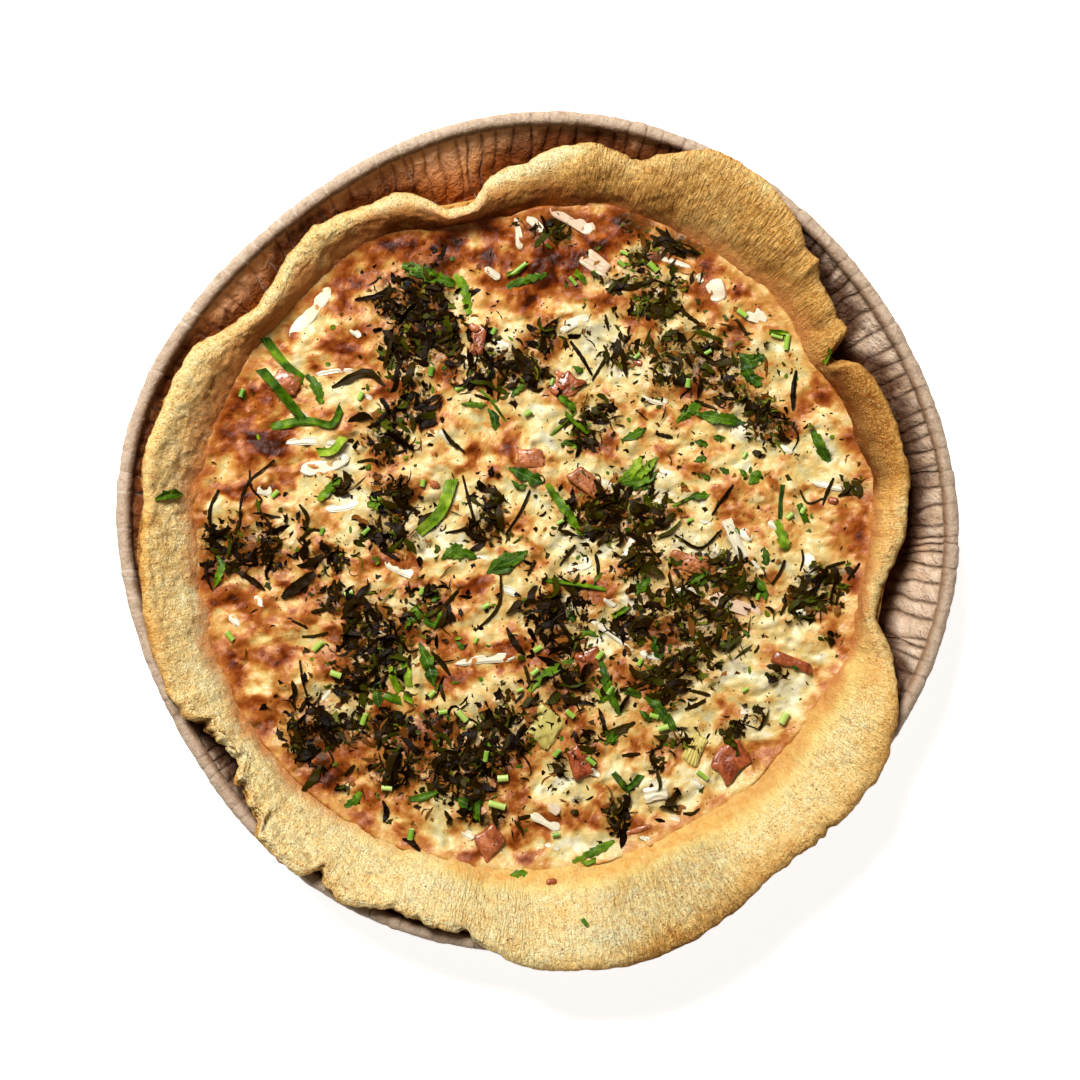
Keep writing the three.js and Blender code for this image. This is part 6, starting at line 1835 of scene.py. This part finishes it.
CHIVES = [  # centre px, heading in degrees, length mm, outer radius mm, tone
    (431, 371, 80, 3.2, 1.05, .35), (459, 388, 20, 2.6, 1.0, .6), (494, 331, 60, 2.6, .9, .5), (242, 393, 70, 2.8, .9, .35),
    (528, 413, 30, 2.8, 1.0, .55), (275, 494, 45, 3.0, 1.0, .6), (423, 483, 80, 2.4, 1.0, .6), (361, 396, 60, 3.0, .9, .6),
    (653, 267, -45, 4.0, 1.25, .55), (621, 264, -40, 3.0, .9, .5), (624, 253, -25, 2.8, .7, .6), (573, 281, -50, 3.6, .8, .45),
    (519, 269, 38, 6.2, .9, .5), (742, 313, -35, 3.6, 1.1, .65), (777, 336, -15, 4.0, .8, .7), (787, 342, 80, 5.2, 1.0, .65),
    (688, 383, 85, 3.0, 1.1, .5), (336, 674, -20, 3.8, 1.25, .75), (318, 646, 45, 4.2, 1.1, .7), (230, 636, -50, 3.6, 1.1, .6),
    (349, 593, 20, 3.0, 1.1, .6), (366, 531, 45, 3.0, .9, .45), (322, 531, 70, 2.6, .8, .4), (364, 719, 70, 4.0, 1.1, .6),
    (432, 694, 45, 2.6, 1.0, .6), (443, 712, 10, 2.8, 1.0, .6), (462, 716, -50, 4.4, 1.25, .75), (486, 756, 80, 3.6, 1.0, .5),
    (503, 778, 5, 3.6, 1.35, .8), (497, 805, -15, 5.8, 1.35, .8), (387, 788, -5, 3.6, 1.0, .75), (411, 834, 80, 3.8, 1.2, .45),
    (486, 606, 30, 2.8, 1.0, .6), (422, 591, 60, 2.6, 1.0, .6), (600, 655, 50, 3.2, 1.1, .6), (538, 649, 30, 3.0, 1.1, .6),
    (535, 672, 40, 3.0, 1.1, .6), (784, 718, 60, 4.2, 1.5, .8), (663, 728, 15, 3.6, 1.2, .75), (654, 716, -15, 3.0, 1.0, .6),
    (570, 714, -40, 3.4, 1.1, .6), (591, 761, -40, 3.6, 1.0, .5), (702, 775, -38, 4.4, .9, .6), (557, 753, 50, 3.0, 1.0, .5),
    (790, 516, 40, 2.6, 1.0, .7), (803, 510, 60, 2.6, 1.0, .7), (584, 916, -55, 3.2, .85, .1), (556, 835, 10, 2.6, .9, .45),
    (637, 356, 40, 2.4, .8, .5), (552, 382, 70, 2.4, .8, .5), (708, 352, 30, 2.6, .8, .5), (745, 455, 60, 2.4, .8, .6),
    (690, 520, 20, 2.4, .8, .6), (758, 596, 75, 2.6, .8, .5), (560, 522, 30, 2.4, .8, .6), (640, 662, 60, 2.6, .9, .6),
    (610, 690, 60, 3.2, 1.0, .5), (745, 690, 30, 2.4, .8, .6), (520, 690, 20, 2.4, .8, .6), (476, 640, 60, 2.2, .8, .6),
]


def build_chives():
    heap = Heap()
    rng = np.random.default_rng(31)
    for cx, cy, head, length, outer, tone in CHIVES:
        c = P(cx, cy, 25)
        a = math.radians(head)
        tilt = rng.uniform(-0.12, 0.12)
        d = np.array([math.cos(a), math.sin(a), tilt])
        z = max(float(surf(c[0] + t * length * math.cos(a), c[1] + t * length * math.sin(a))) for t in (-0.4, 0, 0.4))
        ring_tube(heap, np.array([c[0], c[1], z + outer * 0.72]), d, length * 0.92, outer * 0.80, 0.22 + 0.09 * outer, rng.uniform(0.68, 0.9), tone=tone)
    return heap


def build_crumbs():
    heap = Heap()
    rng = np.random.default_rng(77)
    octa = np.array([[1, 0, 0], [0, 1, 0], [-1, 0, 0], [0, -1, 0], [0, 0, 1], [0, 0, -1]], float)
    tri = np.array([[0, 1, 4], [1, 2, 4], [2, 3, 4], [3, 0, 4], [1, 0, 5], [2, 1, 5], [3, 2, 5], [0, 3, 5]])

    def one(x, y, z, size, tone):
        v = octa * size * rng.uniform(0.6, 1.25, (6, 1)) * np.array([1, 1, 0.7])
        a = rng.uniform(0, math.pi)
        v = np.stack([v[:, 0] * math.cos(a) - v[:, 1] * math.sin(a), v[:, 0] * math.sin(a) + v[:, 1] * math.cos(a), v[:, 2]], -1)
        heap.add(v + np.array([x, y, z]), None, tri, tone=tone)

    for _ in range(900):  # pepper and burnt specks on the filling
        a, r = rng.uniform(0, 2 * np.pi), math.sqrt(rng.random()) * 101
        x, y = r * math.cos(a), r * math.sin(a)
        one(x, y, float(surf(x, y)) + 0.08, rng.uniform(0.14, 0.38), rng.uniform(0.0, 0.3))
    for _ in range(900):  # flour crumbs along the broken lip
        th = rng.choice([rng.normal(216, 8), rng.normal(238, 6), rng.normal(250, 9), rng.normal(312, 4), rng.uniform(0, 360)], p=[0.4, 0.2, 0.15, 0.1, 0.15])
        r = float(edge_r(np.array([th]))[0]) - rng.uniform(0.6, 5.0) ** 1.0
        x, y = r * math.cos(math.radians(th)), r * math.sin(math.radians(th))
        z = float(surf(x, y))
        if z > 36:
            one(x, y, z + 0.04, rng.uniform(0.18, 0.42), rng.uniform(0.55, 0.80))
    for _ in range(70):  # bran flecks on the pastry
        th, back = rng.uniform(0, 360), rng.uniform(2, 16)
        r = float(edge_r(np.array([th]))[0]) - back
        x, y = r * math.cos(math.radians(th)), r * math.sin(math.radians(th))
        z = float(surf(x, y))
        if z > 28:
            one(x, y, z + 0.02, rng.uniform(0.2, 0.45), rng.uniform(0.05, 0.4))
    return heap


HAM_BITS = [([(829, 500), (833, 501), (838, 502)], 9, .2), ([(547, 882), (551, 880), (556, 881)], 7, .1), ([(634, 361), (642, 364)], 7, .3),
            ([(431, 483), (439, 487)], 8, .5), ([(427, 779), (434, 782)], 6, .3), ([(621, 836), (636, 831), (651, 826)], 6, .6),
            ([(470, 325), (478, 331)], 8, .4), ([(556, 372), (564, 377)], 7, .4), ([(575, 655), (585, 660)], 8, .2)]


def build_ham_bits(heap):
    rng = np.random.default_rng(5)
    for pts, wpx, tone in HAM_BITS:
        q = P([p[0] for p in pts], [p[1] for p in pts], 25)
        line, _ = resample(q, 8)
        u = np.linspace(0, 1, 8)
        z = surf(line[:, 0], line[:, 1]) + 0.15
        rad = wpx * 0.3148 / 2 * (0.7 + 0.3 * np.sin(math.pi * u)) * rng.uniform(0.85, 1.15, 8)
        tube(heap, np.column_stack([line, z]), rad, 10, 0.55, tone=tone, top=0.9, rib=0.0, rim=0.0)


HAM = HEAPS["ham"].build("ham_dice", ham_material(), "ham", [b[0] for b in BLOCKS if b[0].startswith("ham")])
ONION_A = HEAPS["onion"].build("onion_chunks", onion_material(), "onion", [b[0] for b in BLOCKS if b[0].startswith("onion")])
LEEK_A = HEAPS["leek"].build("leek_chunks", leek_material(), "leek", [b[0] for b in BLOCKS if b[0].startswith("leek")])
GX, GZ = top_grid()

strips = Heap()
build_strips(strips)
strips.build("onion_strips", ONION_A.data.materials[0], "onion")
bits = Heap()
build_ham_bits(bits)
bits.build("ham_slivers", HAM.data.materials[0], "ham")
herb_look = dark_herb_material()
for part, label in zip(build_dark(), ("baked_herbs", "baked_herb_shreds", "baked_herb_bits")):
    part.build(label, herb_look, "baked_herb", crisp=42)
build_leaves().build("fresh_leaves", leaf_material(), "fresh_herb", crisp=38)
build_chives().build("chives", chive_material(), "fresh_herb", crisp=50)
build_crumbs().build("crumbs", crumb_material(), "pastry", smooth_shade=False)


# ------------------------------------------------------------------ floor, light, camera
def build_stage():
    me = bpy.data.meshes.new("floor")
    s = 9.0
    me.from_pydata([(-s, -s, 0), (s, -s, 0), (s, s, 0), (-s, s, 0)], [], [(0, 1, 2, 3)])
    floor = bpy.data.objects.new("floor", me)
    bpy.context.scene.collection.objects.link(floor)
    m = Nodes("floor_white")
    m.done(lin(218, 218, 218), 0.9, spec=0.05)
    m.bsdf.inputs["Emission Color"].default_value = (1.0, 1.0, 1.0, 1.0)
    m.bsdf.inputs["Emission Strength"].default_value = 0.82
    me.materials.append(m.mat)

    def area(name, az, el, dist, size, watts, colour):
        ld = bpy.data.lights.new(name, "AREA")
        ld.shape, ld.size, ld.energy, ld.color = "DISK", size, watts, colour
        ob = bpy.data.objects.new(name, ld)
        a, e = math.radians(az), math.radians(el)
        p = np.array([math.cos(a) * math.cos(e), math.sin(a) * math.cos(e), math.sin(e)]) * dist
        ob.location = tuple(p)
        from mathutils import Vector
        ob.rotation_mode = "QUATERNION"
        ob.rotation_quaternion = (-Vector(p)).to_track_quat("-Z", "Y")
        bpy.context.scene.collection.objects.link(ob)

    area("key", 116, 53, 1.3, 0.55, 34.0, (1.0, 0.975, 0.94))
    w = bpy.data.worlds.new("studio")
    w.use_nodes = True
    bg = w.node_tree.nodes["Background"]
    bg.inputs[0].default_value = (1.0, 0.87, 0.70, 1)
    bg.inputs[1].default_value = 0.19
    bpy.context.scene.world = w

    cam = bpy.data.cameras.new("camera")
    cam.sensor_width, cam.lens = 36.0, 85.8
    cam.clip_start, cam.clip_end = 0.01, 20
    co = bpy.data.objects.new("camera", cam)
    co.location = (0.0, -0.93 * MM, 834 * MM)
    bpy.context.scene.collection.objects.link(co)
    bpy.context.scene.camera = co
    bpy.context.scene.view_settings.view_transform = "Standard"


build_stage()
